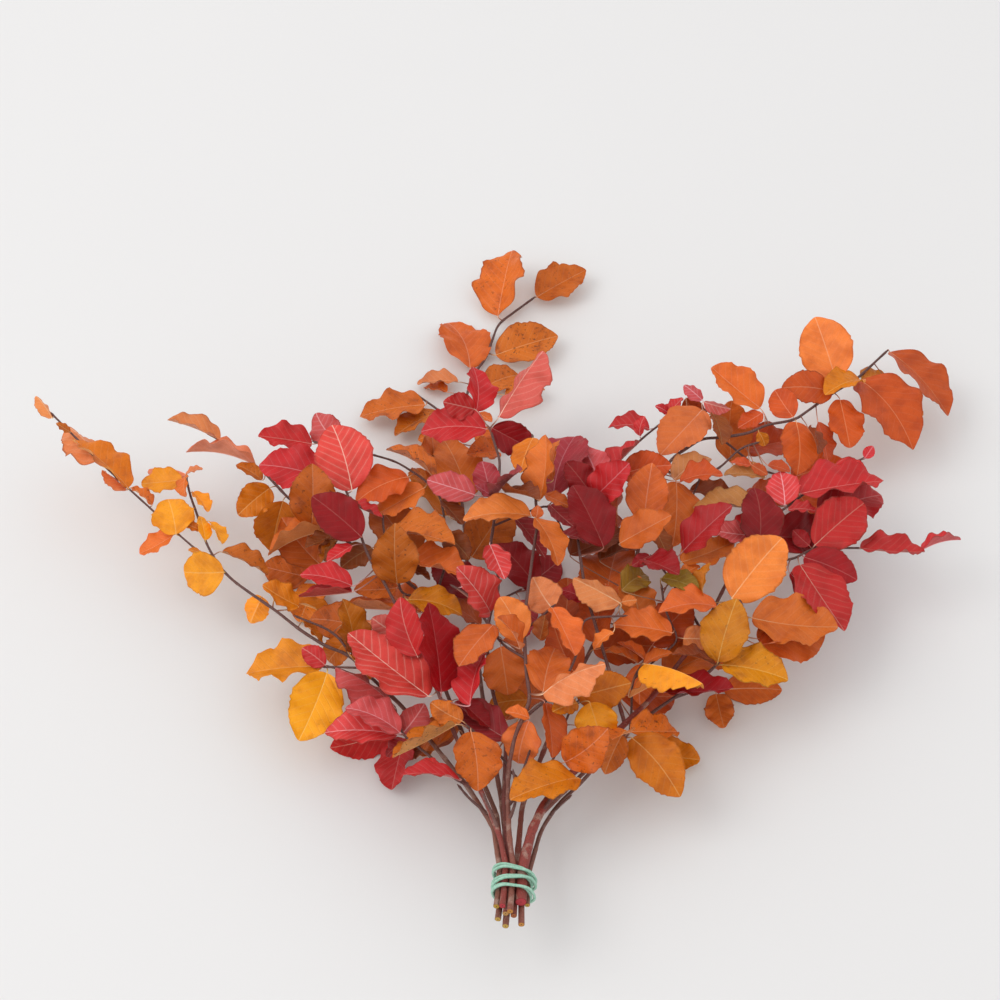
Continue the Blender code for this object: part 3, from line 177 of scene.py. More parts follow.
# %% Branches, twigs and leaves
# place: where the stem sits in the tied bundle's section (right, up; mm) and its radius.
# cut: how far the cut end stands beyond the tie's middle (mm). end: the radius at the tip (mm).
# grown: the stem, then its twigs, each a path of (column, row, height mm) and its leaves as (column and
# row of the base, column and row of the tip, width seen, look).
BRANCHES = {
    "red_right": dict(
        look="c", place=(7.2, 3.0, 4.7), cut=22, end=1.3,
        grown=[
            ([(531, 832, 64), (545, 802, 61), (571, 774, 60), (610, 738, 56), (650, 700, 54),
              (700, 636, 60),
              (728, 580, 68), (742, 545, 76), (770, 520, 82), (785, 508, 84)],
             [(785, 505, 780, 471, 36, "k"), (750, 535, 713, 530, 24, "p"), (735, 530, 768, 512, 14),
              (788, 510, 818, 512, 12), (665, 692, 735, 688, 20, "d")]),
            ([(750, 560, 68), (793, 560, 72), (812, 548, 72), (860, 548, 64), (890, 549, 56)],
             [(812, 545, 793, 530, 18, "d"), (800, 555, 857, 580, 35, "d"), (790, 573, 833, 610, 30),
              (860, 548, 925, 552, 22), (922, 550, 961, 540, 5), (800, 565, 845, 632, 45),
              (815, 545, 864, 503, 55)]),
            ([(800, 497, 84), (835, 470, 78), (862, 459, 74)],
             [(835, 465, 870, 478, 25), (865, 458, 873, 446, 12), (800, 494, 884, 481, 34)]),
            ([(585, 590, 84), (575, 520, 92), (597, 484, 94), (630, 450, 90), (645, 436, 86),
              (668, 418, 82)],
             [(594, 498, 566, 462, 30, "d"), (598, 479, 583, 447, -38, "p"), (603, 480, 640, 442, 20),
              (655, 430, 608, 428, 18), (640, 436, 645, 416, 12), (668, 415, 683, 398, 12),
              (668, 413, 655, 406, 10), (602, 485, 578, 503, 16), (605, 505, 583, 517, 12, "d"),
              (585, 600, 560, 590, 18, "d")]),
            ([(548, 806, 66), (553, 790, 70)], []),
            ([(690, 610, 66), (664, 570, 80), (655, 560, 84)],
             [(645, 560, 680, 575, 20, "d"), (650, 556, 632, 566, 14, "d")]),
        ],
    ),
    "orange_centre": dict(
        look="o", place=(-0.7, 6.2, 2.6), cut=36, end=1.2,
        grown=[
            ([(509, 835, 67), (508, 802, 64), (508, 770, 62), (515, 735, 68), (531, 700, 84),
              (527, 680, 92), (525, 655, 98), (524, 620, 102), (532, 560, 106), (538, 520, 108),
              (536, 505, 107), (534, 475, 104)],
             [(531, 516, 463, 520, 27, "b"), (536, 518, 538, 505, 13), (535, 518, 558, 566, 30),
              (505, 492, 540, 500, 14, "n"), (545, 495, 570, 507, 14), (540, 500, 546, 434, 28),
              (553, 480, 560, 440, 14), (521, 640, 500, 597, 38, "b"), (545, 703, 552, 758, 26),
              (529, 718, 505, 712, 14), (529, 721, 518, 765, 42, "b"), (543, 694, 609, 662, -18, "s"),
              (543, 692, 555, 648, 48)]),
            ([(536, 450, 100), (533, 438, 96)],
             [(533, 438, 520, 474, 27, "a")]),
            ([(540, 618, 106), (550, 609, 108)],
             [(540, 640, 545, 615, 16, "n"), (552, 608, 575, 656, 28), (551, 607, 533, 577, -40, "s")]),
            ([(560, 690, 86), (575, 660, 93), (580, 640, 97), (583, 618, 99), (620, 616, 97)],
             [(613, 632, 594, 650, 12), (622, 602, 637, 600, 12), (620, 603, 573, 578, -28, "s")]),
            ([(513, 812, 70), (517, 796, 74), (514, 776, 76)], []),
            ([(500, 643, 98), (492, 628, 98)],
             [(520, 648, 495, 615, 14), (493, 625, 458, 668, 30), (500, 643, 508, 695, 46),
              (503, 640, 530, 676, 16)]),
        ],
    ),
    "red_left": dict(
        look="c", place=(-6.7, 5.9, 2.7), cut=30, end=1.2,
        grown=[
            ([(500, 836, 62), (481, 791, 60), (457, 740, 62), (440, 697, 74), (415, 640, 80),
              (380, 575, 84), (370, 560, 86), (362, 540, 88), (357, 520, 90), (350, 500, 90),
              (343, 484, 90), (332, 481, 88)],
             [(352, 592, 298, 597, 6), (352, 586, 300, 575, 25), (352, 546, 327, 562, 14),
              (360, 528, 332, 512, 14, "d"), (350, 503, 383, 518, 12), (347, 505, 323, 498, -9, "p"),
              (352, 490, 332, 425, 60, "k"), (332, 480, 259, 465, 46), (405, 640, 372, 618, -30, "p"),
              (460, 700, 490, 728, 20, "d"),
              (470, 705, 485, 653, 22), (441, 692, 428, 602, 48, "d"), (428, 696, 348, 633, 55, "k")]),
            ([(345, 468, 84), (335, 448, 80), (318, 443, 76)],
             [(335, 440, 316, 413, -35, "p"), (312, 444, 258, 436, 28)]),
            ([(455, 780, 63), (440, 765, 64), (420, 748, 64), (402, 735, 64), (396, 712, 66)],
             [(460, 780, 400, 775, 24), (440, 768, 418, 762, 10), (408, 742, 386, 757, 12, "d"),
              (395, 708, 335, 668, -30, "p"), (400, 733, 345, 708, 30, "p"), (402, 735, 325, 733, 38, "k"),
              (403, 733, 425, 703, -34, "p")]),
            ([(405, 668, 76), (365, 668, 68), (328, 667, 62)],
             [(325, 665, 302, 648, 22)]),
            ([(496, 822, 66), (486, 800, 72)], []),
            ([(420, 720, 22), (395, 728, 5)],
             [(393, 730, 330, 748, 40), (405, 738, 392, 790, 34)]),
        ],
    ),
    "red_centre": dict(
        look="m", place=(-4.1, 0.6, 2.6), cut=33, end=1.2,
        grown=[
            ([(504, 803, 46), (506, 740, 44), (492, 690, 56), (486, 640, 76), (490, 612, 88),
              (499, 590, 94), (497, 565, 96), (490, 545, 96), (493, 530, 94), (499, 478, 90),
              (500, 460, 86), (495, 445, 82), (490, 428, 76)],
             [(492, 428, 537, 452, 36, "d"), (475, 495, 427, 480, 30, "p"), (500, 500, 475, 485, 14),
              (495, 497, 522, 470, 22), (490, 495, 482, 461, 28), (500, 600, 477, 592, 18, "k"),
              (490, 545, 505, 580, 26, "k"), (476, 411, 473, 367, 30, "c"), (474, 409, 443, 402, 28, "c"),
              (499, 417, 543, 351, -35, "p"), (490, 428, 421, 432, 40, "c")]),
            ([(515, 516, 94), (550, 504, 92), (562, 530, 90)],
             [(560, 535, 590, 545, 12), (550, 505, 575, 528, 18), (515, 518, 545, 558, 22)]),
            ([(470, 596, 92), (456, 588, 92)],
             [(455, 587, 490, 575, 20, "k"), (490, 612, 455, 565, 20, "k")]),
            ([(512, 806, 50), (520, 780, 52), (528, 756, 56)], []),
            ([(500, 600, 50), (520, 590, 5)],
             [(522, 590, 560, 560, 38), (520, 600, 520, 640, 34)]),
        ],
    ),
    "amber_left": dict(
        look="a", place=(-11.5, 2.0, 2.6), cut=27, end=1.1,
        grown=[
            ([(494, 828, 51), (467, 786, 48), (402, 706, 54), (365, 672, 60), (350, 655, 64),
              (325, 646, 66), (300, 630, 66), (275, 610, 66), (250, 593, 66), (232, 580, 66),
              (218, 565, 66), (206, 543, 66), (198, 517, 67), (190, 495, 68), (186, 477, 70)],
             [(303, 622, 322, 644, 10), (277, 598, 335, 618, 14), (298, 606, 262, 585, 26),
              (262, 597, 250, 624, -27, "y"), (222, 552, 268, 575, 18, "t"), (224, 572, 184, 572, 46, "y"),
              (210, 522, 222, 544, 12, "y"), (205, 540, 200, 516, 12, "y"), (200, 530, 185, 524, 10),
              (193, 492, 208, 512, 14, "y"), (186, 476, 186, 497, 12, "o"), (186, 474, 203, 469, 6, "s"),
              (186, 474, 148, 469, -6, "s"), (182, 480, 141, 484, 27, "y")]),
            ([(486, 812, 54), (470, 800, 60), (462, 790, 62)], []),
            ([(200, 553, 67), (177, 533, 67), (150, 508, 69), (128, 488, 71), (100, 462, 73),
              (66, 428, 76), (54, 416, 77)],
             [(200, 552, 188, 550, 6), (176, 535, 139, 554, 15, "o"), (152, 505, 130, 488, 10, "t"),
              (127, 490, 102, 470, -12, "s"), (128, 488, 72, 440, 25), (100, 460, 66, 425, -18, "s"),
              (70, 432, 56, 423, 8), (52, 418, 36, 396, -12, "s"), (176, 534, 168, 499, 44, "y")]),
            ([(345, 644, 70), (330, 630, 73), (300, 618, 74)],
             [(350, 655, 370, 680, 6), (350, 630, 375, 620, -14, "s"), (345, 625, 360, 645, 20),
              (348, 640, 328, 662, 30)]),
            ([(355, 676, 61), (340, 669, 60), (326, 666, 58)],
             [(325, 665, 246, 674, 40, "y"), (327, 673, 298, 742, 57, "y")]),
        ],
    ),
    "orange_left": dict(
        look="t", place=(-9.5, -3.8, 2.6), cut=35, end=1.2,
        grown=[
            ([(497, 815, 38), (465, 740, 36), (430, 650, 46), (424, 595, 58), (395, 572, 66),
              (345, 540, 68), (330, 525, 66), (290, 500, 64), (262, 470, 62), (250, 462, 62),
              (220, 440, 62), (205, 432, 62)],
             [(332, 530, 268, 556, 8, "o"), (337, 540, 322, 562, 4, "a"), (335, 535, 325, 562, 16, "n"),
              (336, 533, 305, 548, 18, "n"), (290, 505, 325, 522, 8, "o"), (262, 480, 236, 465, 14),
              (220, 440, 167, 420, 12, "s"), (255, 465, 184, 452, 12, "s"), (270, 488, 238, 515, 34, "a"),
              (283, 501, 272, 552, 48, "a")]),
            ([(447, 562, 74), (445, 533, 82), (444, 515, 84), (440, 495, 85), (425, 480, 85),
              (410, 470, 84), (395, 461, 83), (377, 456, 82)],
             [(441, 500, 463, 525, 18, "n"), (445, 535, 470, 560, 28, "n"), (435, 478, 386, 450, 14),
              (424, 488, 376, 515, 30, "o"), (408, 477, 355, 503, 30, "r")]),
            ([(401, 596, 64), (398, 580, 70), (397, 560, 73), (384, 535, 76), (383, 520, 78)],
             [(395, 610, 338, 608, 5), (400, 566, 430, 580, 12, "n"), (372, 548, 341, 568, 26, "n"),
              (408, 600, 462, 615, 28, "g"), (396, 588, 354, 590, 26), (400, 562, 472, 578, 16, "o"),
              (385, 533, 455, 545, 30)]),
            ([(330, 560, 40), (310, 575, 5)],
             [(308, 577, 262, 566, 36), (316, 584, 300, 622, 34)]),
        ],
    ),
    "orange_top_right": dict(
        look="r", place=(1.9, -3.4, 2.6), cut=31, end=1.2,
        grown=[
            ([(522, 806, 34), (556, 720, 34), (588, 655, 46), (623, 590, 66), (636, 560, 74),
              (643, 528, 80), (646, 500, 84), (656, 482, 85), (672, 458, 86), (702, 438, 86),
              (720, 438, 85), (750, 433, 83), (765, 425, 82), (795, 420, 78), (830, 395, 70),
              (858, 378, 62), (888, 350, 52)],
             [(570, 555, 625, 530, 30, "n"), (600, 560, 640, 545, 20, "n"), (655, 528, 668, 557, 18, "n"),
              (676, 482, 672, 548, 44, "o"), (674, 480, 711, 458, 28, "w"), (680, 482, 724, 475, 14),
              (762, 413, 738, 428, 18), (757, 430, 765, 446, 14, "a"), (808, 428, 818, 455, 12, "n"),
              (818, 422, 828, 463, 22), (796, 422, 797, 475, 40), (797, 420, 775, 390, 30),
              (840, 400, 850, 448, 35), (832, 392, 779, 388, 34), (760, 408, 711, 367, 30, "o"),
              (686, 398, 697, 434, 20), (860, 380, 825, 395, 20, "a"), (862, 380, 892, 378, 14, "a"),
              (836, 380, 815, 317, 55, "b"),
              (908, 405, 923, 416, 10, "a"), (860, 380, 913, 450, 55), (890, 352, 948, 416, 32)]),
            ([(528, 796, 38), (531, 770, 42), (528, 740, 44)], []),
            ([(640, 478, 84), (622, 473, 84)],
             [(622, 474, 672, 465, 36), (622, 472, 620, 543, 34)]),
            ([(706, 412, 88)],
             [(702, 400, 684, 385, -14, "p"), (704, 402, 731, 409, -12, "p"),
              (713, 414, 722, 445, 18, "n"), (702, 410, 660, 455, 45, "b")]),
            ([(700, 478, 80), (720, 468, 82), (740, 448, 84), (753, 444, 85)],
             [(752, 466, 731, 462, 10), (752, 465, 768, 475, 12), (768, 465, 790, 472, 12),
              (765, 478, 722, 475, 14, "w")]),
            ([(690, 502, 74), (740, 505, 74), (768, 508, 74)],
             [(690, 490, 740, 500, 25, "n"), (765, 512, 692, 508, 18, "w"), (785, 505, 750, 487, 14)]),
            ([(760, 470, 40), (790, 478, 5)],
             [(792, 478, 846, 462, 38), (794, 486, 812, 520, 34)]),
        ],
    ),
    "orange_right": dict(
        look="o", place=(7.6, -5.3, 2.6), cut=38, end=1.3,
        grown=[
            ([(537, 818, 33), (600, 757, 32), (650, 714, 40), (700, 680, 58), (718, 664, 68),
              (735, 640, 74), (745, 615, 78), (740, 600, 80)],
             [(715, 665, 672, 655, 12, "n"), (702, 600, 711, 563, 16, "a"), (717, 607, 658, 613, 27),
              (760, 645, 815, 640, 15, "r"), (752, 618, 838, 627, 50, "o"), (719, 665, 788, 680, 42, "g"),
              (718, 662, 737, 598, 50, "g"), (732, 598, 782, 538, 60, "b")]),
            ([(632, 680, 56), (643, 663, 62)],
             [(630, 697, 670, 676, 6), (644, 664, 673, 653, 12), (645, 660, 617, 643, 8),
              (645, 663, 601, 652, 16), (642, 664, 640, 706, 30), (645, 664, 707, 685, -12, "y")]),
            ([(680, 640, 70), (672, 626, 76), (664, 606, 80), (662, 590, 82)],
             [(672, 633, 613, 625, 34), (682, 637, 710, 640, -28, "s"), (678, 594, 622, 609, 18, "v"),
              (622, 590, 648, 575, 22, "v"), (680, 577, 700, 566, 12), (662, 578, 700, 592, 18, "v")]),
            ([(700, 690, 30), (722, 690, 5)],
             [(724, 690, 782, 690, 38), (716, 694, 724, 728, 30)]),
        ],
    ),
    "amber_top": dict(
        look="t", place=(-3.6, -5.7, 2.7), cut=40, end=1.2,
        grown=[
            ([(502, 803, 26), (483, 700, 18), (470, 600, 15), (462, 500, 13), (457, 465, 12),
              (456, 445, 11), (460, 425, 10), (471, 378, 9), (486, 358, 8), (498, 324, 8),
              (535, 297, 7)],
             [(498, 452, 464, 455, 14), (478, 430, 498, 450, 22), (478, 413, 492, 422, 10),
              (450, 435, 418, 440, 20), (458, 382, 417, 384, 14, "s"), (447, 392, 424, 388, 12),
              (505, 395, 545, 390, 14), (484, 388, 520, 375, 28), (470, 368, 448, 323, 46, "o"),
              (496, 355, 558, 336, 42), (537, 297, 586, 270, 38), (498, 316, 512, 251, 47)]),
            ([(440, 411, 13), (420, 397, 14)],
             [(438, 412, 395, 436, 20), (425, 405, 359, 417, 26)]),
            ([(512, 769, 46), (500, 755, 54), (486, 742, 63), (471, 729, 70)],
             [(455, 725, 392, 758, 10), (456, 724, 420, 747, 12), (462, 721, 430, 702, 26),
              (528, 700, 486, 706, 26, "a"), (471, 732, 478, 793, 55)]),
            ([(524, 785, 42), (550, 766, 54), (560, 745, 64), (567, 715, 74), (575, 705, 78)],
             [(578, 728, 566, 762, 10), (577, 703, 552, 712, 20, "a"), (577, 697, 631, 683, 40, "a"),
              (590, 703, 603, 748, 46, "y")]),
        ],
    ),
    "amber_front": dict(
        look="a", place=(12.3, -2.6, 2.2), cut=20, end=1.4,
        grown=[
            ([(541, 830, 53), (558, 804, 56), (581, 783, 58), (602, 759, 61), (626, 738, 64)],
             [(577, 778, 509, 800, 50, "g"), (630, 732, 612, 740, 12, "t"), (630, 732, 678, 732, 26, "t"),
              (622, 735, 604, 776, 30, "t"), (632, 738, 680, 797, 50)]),
            ([(552, 812, 58), (566, 800, 64)], []),
            ([(622, 748, 30), (640, 752, 5)],
             [(642, 752, 700, 760, 36)]),
        ],
    ),
}

print(len(BRANCHES), "branches,",
      sum(len(leaves) for plan in BRANCHES.values() for _, leaves in plan["grown"]), "planned leaves")

# %% [markdown]
# ## From the plan to points
# A ray from the eye through a place of the picture meets the height that the plan gives. Projecting a
# point back gives the place where it is seen, which later tells which gaps the leaves leave open.

# %% Lines of sight
def line_of_sight(column, row):
    """The direction from the eye through a place of the picture."""
    x = (column - 500.0) / 500.0 * VIEW_HALF_WIDTH
    y = (500.0 - row) / 500.0 * VIEW_HALF_WIDTH
    return AHEAD + RIGHT * x + UP * y


def sight(column, row, height):
    """The point at a height in millimetres that the viewer sees at this place of the picture."""
    ray = line_of_sight(column, row)
    return EYE + ray * ((height * MM - EYE.z) / ray.z)


def pixels_a_metre(point):
    """How many columns one metre across the view takes at a point."""
    return 500.0 / VIEW_HALF_WIDTH / (point - EYE).dot(AHEAD)


def place_in_picture(point):
    """Column and row at which the viewer sees a point."""
    away = point - EYE
    scale = 500.0 / VIEW_HALF_WIDTH / away.dot(AHEAD)
    return np.array([500.0 + away.dot(RIGHT) * scale, 500.0 - away.dot(UP) * scale])

print("the tie's middle:", tuple(round(x, 3) for x in sight(513, 884, 64)))

# %% [markdown]
# ## Keeping leaves apart
# In a tied bunch the leaves lie over one another without growing through each other. Whatever is placed
# is kept in a search tree, and each new leaf or twig asks whether it would touch another. The coarse
# tubes and blades here are only for that question; the fine ones grow from the same numbers.

# %% What is placed, and coarse wood
GAP = 0.35 * MM
STEM_SIDES = 5
TWIG_SIDES = 4
TWIG_ROOT_RADIUS = 1.8 * MM
TWIG_END_RADIUS = 1.0 * MM
TAPER_POWER = 1.7


class Placed:
    """Everything placed so far, for asking whether a new thing would touch it."""

    def __init__(self):
        self.low, self.high, self.trees, self.owners = [], [], [], []

    def add(self, verts, faces, owner):
        """Keeps a mesh, with the name of the branch it grows on."""
        self.low.append(verts.min(axis=0))
        self.high.append(verts.max(axis=0))
        self.trees.append(BVHTree.FromPolygons(verts.tolist(), faces))
        self.owners.append(owner)

    def touched(self, verts, faces, owner, own):
        """Whether a mesh meets something placed: of its own branch if own, else of all the others."""
        if not self.trees:
            return False
        near = (np.array(self.low) <= verts.max(axis=0)).all(axis=1)
        near &= (np.array(self.high) >= verts.min(axis=0)).all(axis=1)
        picked = [i for i in np.flatnonzero(near) if (self.owners[i] == owner) == own]
        if not picked:
            return False
        tree = BVHTree.FromPolygons(verts.tolist(), faces)
        return any(tree.overlap(self.trees[i]) for i in picked)


def tube(points, radii, sides):
    """A closed tube along a path: a ring of vertices round each point, square to the path there."""
    points = [Vector(p) for p in points]
    ahead = (points[1] - points[0]).normalized()
    across = ahead.orthogonal().normalized()
    verts, faces = [], []
    for i, point in enumerate(points):
        before = (point - points[i - 1]).normalized() if i else ahead
        after = (points[i + 1] - point).normalized() if i + 1 < len(points) else before
        ahead = (before + after).normalized()
        across = (across - ahead * across.dot(ahead)).normalized()
        other = ahead.cross(across)
        for k in range(sides):
            angle = 2 * math.pi * k / sides
            verts.append(point + (across * math.cos(angle) + other * math.sin(angle)) * radii[i])
    for i in range(len(points) - 1):
        for k in range(sides):
            a, b = i * sides + k, i * sides + (k + 1) % sides
            faces.append((a, b, b + sides, a + sides))
    last = (len(points) - 1) * sides
    faces.append(tuple(reversed(range(sides))))
    faces.append(tuple(range(last, last + sides)))
    return np.array(verts), faces

print("leaves and twigs of two branches stay", round(GAP / MM, 2), "mm apart")

# %% A leaf's form
BLADE_THICKNESS = 0.8 * MM
WIDTH_OVER_LENGTH = 0.72
WIDEST_POWER = 0.88
BASE_ROUNDNESS = 0.56
TIP_POINT = 0.0, 0.22      # least and most, as the four below
ARCH = -0.02, 0.10         # over the leaf's length
BEND = -0.05, 0.05
WAVE = 0.03, 0.09          # over its width
FOLD_DEGREES = 5.0, 18.0
TURNED_BACK = math.radians(115.0)
MARGIN_SCALLOP = 0.05
PETIOLE_HALF_WIDTH = 0.5 * MM
PETIOLE_HALF_HEIGHT = 0.42 * MM
SLIVER_LEAF = 15 * MM
SMALL_LEAF = 56 * MM
LARGE_LEAF = 80 * MM


def half_width(s, point):
    """Half the blade's width over its greatest, from base (0) to tip (1): ovate, the tip more or less
    drawn to a point."""
    return np.sin(math.pi * s**WIDEST_POWER) ** (BASE_ROUNDNESS + point * s)


class Leaf:
    """One leaf: where its petiole starts, its blade's base, its axes, and the shape of its blade."""

    def __init__(self, root, base, tip, facing, width, rng):
        self.root, self.base = root, base
        self.length = (tip - base).length
        self.along = (tip - base).normalized()
        self.facing = (facing - self.along * facing.dot(self.along)).normalized()
        self.across = self.facing.cross(self.along)
        self.width = self.seen_width = width
        self.arch = rng.uniform(*ARCH) * self.length
        self.bend = rng.uniform(*BEND) * self.length
        self.wave = rng.uniform(*WAVE) * width
        self.phase = rng.uniform(0.0, 2 * math.pi), rng.uniform(0.0, 2 * math.pi)
        self.fold = math.radians(rng.uniform(*FOLD_DEGREES))
        self.point = rng.uniform(*TIP_POINT)
        self.look, self.filler = "", False

    def blade(self, s, t):
        """Points of the blade's middle surface at s from base to tip and t across, each -1 to 1.

        Along, the midrib arches and bends sideways as s times (1 - s). Across, the two halves rise
        from the midrib by the fold's angle, and the margin waves up and down.
        """
        share = half_width(s, self.point)
        side = np.abs(t) * share * self.width / 2
        phase = np.where(t < 0, self.phase[0], self.phase[1])
        up = self.arch * 4 * s * (1 - s) + side * math.sin(self.fold)
        up = up + self.wave * t * t * np.sin(5.5 * math.pi * s + phase) * np.sqrt(share)
        out = np.sign(t) * side * math.cos(self.fold) + self.bend * 4 * s * (1 - s)
        along, across, facing = (np.array(v) for v in (self.along, self.across, self.facing))
        points = np.array(self.base) + np.outer(s * self.length, along)
        return points + np.outer(out, across) + np.outer(up, facing)

    def turned_back(self):
        """Whether the blade turns back along its own petiole."""
        return (self.base - self.root).angle(self.along) > TURNED_BACK

    def petiole(self, half, extra, root_share):
        """Top and low corners of the strap: root right, neck right, neck left, root left.

        The root's section is square to the strap. The neck's lies in the plane that halves the angle
        between strap and blade.
        """
        strap = (self.base - self.root).normalized()
        turn = self.along.rotation_difference(strap)
        halving = (strap + self.along).normalized()
        start = self.base + (self.root - self.base) * root_share
        corners = []
        for up in (1.0, -1.0):
            row = []
            for side in (1.0, -1.0):
                root = self.across * side * (PETIOLE_HALF_WIDTH + extra)
                root = root + self.facing * up * (PETIOLE_HALF_HEIGHT + extra)
                neck = self.across * side * (PETIOLE_HALF_WIDTH * 2.0 + extra) + self.facing * up * half
                neck = neck - self.along * (neck.dot(halving) / self.along.dot(halving))
                row += [start + turn @ root, self.base + neck]
            corners.append(np.array([row[0], row[1], row[3], row[2]]))
        return corners

    def mesh(self, extra=0.0, root_share=1.0):
        """The closed leaf: strap petiole and blade, split into triangles alike on both faces.

        extra is added all round, to keep a clearance. root_share shortens the petiole.
        """
        if self.seen_width < SLIVER_LEAF:
            stations, ribs = [0.45], [0.45]
        elif self.length < SMALL_LEAF:
            stations, ribs = [0.28, 0.7], [0.5]
        elif self.length < LARGE_LEAF:
            stations, ribs = [0.16, 0.48, 0.82], [0.48]
        else:
            stations, ribs = [0.12, 0.36, 0.62, 0.86], [0.3, 0.66]
        scallop = 1.03 + MARGIN_SCALLOP * np.cos(math.pi * np.arange(len(stations)))
        half = BLADE_THICKNESS / 2 / math.cos(self.fold) + extra
        n = len(stations)
        s = np.array(stations)
        right = self.blade(s, scallop)
        left = self.blade(s, -scallop)
        ribs = self.blade(np.array(ribs), np.zeros(len(ribs)))
        ends = self.blade(np.array([0.0, 1.0]), np.zeros(2))
        middle = np.vstack([ends[0], ends[0], right, ends[1], left[::-1], ends[0], ends[0], ribs])
        edge = 2 * n + 5
        top = middle + half * np.array(self.facing)
        low = middle - half * np.array(self.facing)
        strap = [0, 1, edge - 2, edge - 1]
        top[strap], low[strap] = self.petiole(half, extra, root_share)
        sunk = low[:, 2] < 0.0
        low[:, 2] = np.maximum(low[:, 2], 0.0)
        top[sunk, 2] = np.maximum(top[sunk, 2], 0.75 * BLADE_THICKNESS)
        rib_ids = list(range(edge, edge + len(ribs)))
        tip = n + 2
        flat = [(edge - 1, edge - 2, 1, 0), (edge - 2, rib_ids[0], 1)]
        flat += strip(list(range(edge - 2, tip - 1, -1)), rib_ids + [tip], middle)
        flat += [(a, c, b) for a, b, c in strip(list(range(1, tip + 1)), rib_ids + [tip], middle)]
        count = len(middle)
        faces = flat + [tuple(i + count for i in reversed(face)) for face in flat]
        for a in range(edge):
            b = (a + 1) % edge
            if {a, b} <= {0, 1, edge - 2, edge - 1}:
                faces.append((a, b, b + count, a + count))
            else:
                faces += [(a, b, a + count), (b, b + count, a + count)]
        return np.vstack([top, low]), faces

print("a blade is widest at", round(0.5 ** (1 / WIDEST_POWER), 2), "of its length")

# %% Triangles of a leaf, and a check on them
def crosses_itself(verts, faces):
    """Whether two faces of a mesh that share no corner meet."""
    tree = BVHTree.FromPolygons(verts.tolist(), faces)
    return any(i < k and not set(faces[i]) & set(faces[k]) for i, k in tree.overlap(tree))


def strip(outer, inner, points):
    """Triangles between two chains of points that end at the same point, the shorter cut first."""
    triangles, i, k = [], 0, 0
    while outer[i] != inner[k]:
        wide = np.linalg.norm(points[outer[min(i + 1, len(outer) - 1)]] - points[inner[k]])
        deep = np.linalg.norm(points[inner[min(k + 1, len(inner) - 1)]] - points[outer[i]])
        if k + 1 == len(inner) or (i + 1 < len(outer) and wide <= deep):
            triangles.append((outer[i], outer[i + 1], inner[k]))
            i += 1
        else:
            triangles.append((outer[i], inner[k + 1], inner[k]))
            k += 1
        if i + 1 == len(outer) and k + 1 == len(inner):
            break
    return triangles

sample = Leaf(Vector(), Vector((0.0, 0.01, 0.0)), Vector((0.0, 0.08, 0.0)), Vector((0.0, 0.0, 1.0)),
              0.05, random.Random(SEED))
print("a leaf 70 mm long has", len(sample.mesh()[1]), "faces")

# %% Placing a leaf as it is seen
LEAN_TO_VIEWER = math.radians(20.0)
LEAN_HEIGHT = 70.0
PRESSED_HEIGHT = 6.0
BASE_LIFT = 1.5            # mm over the wood
LEAN_SPREAD = 0.12         # radians
TILT_SPREAD = 0.15
MOST_WIDTH_OVER_LENGTH = 0.82
WIDTH_SPREAD = 0.92, 1.1
EDGE_ON_FOLD = math.radians(25.0)


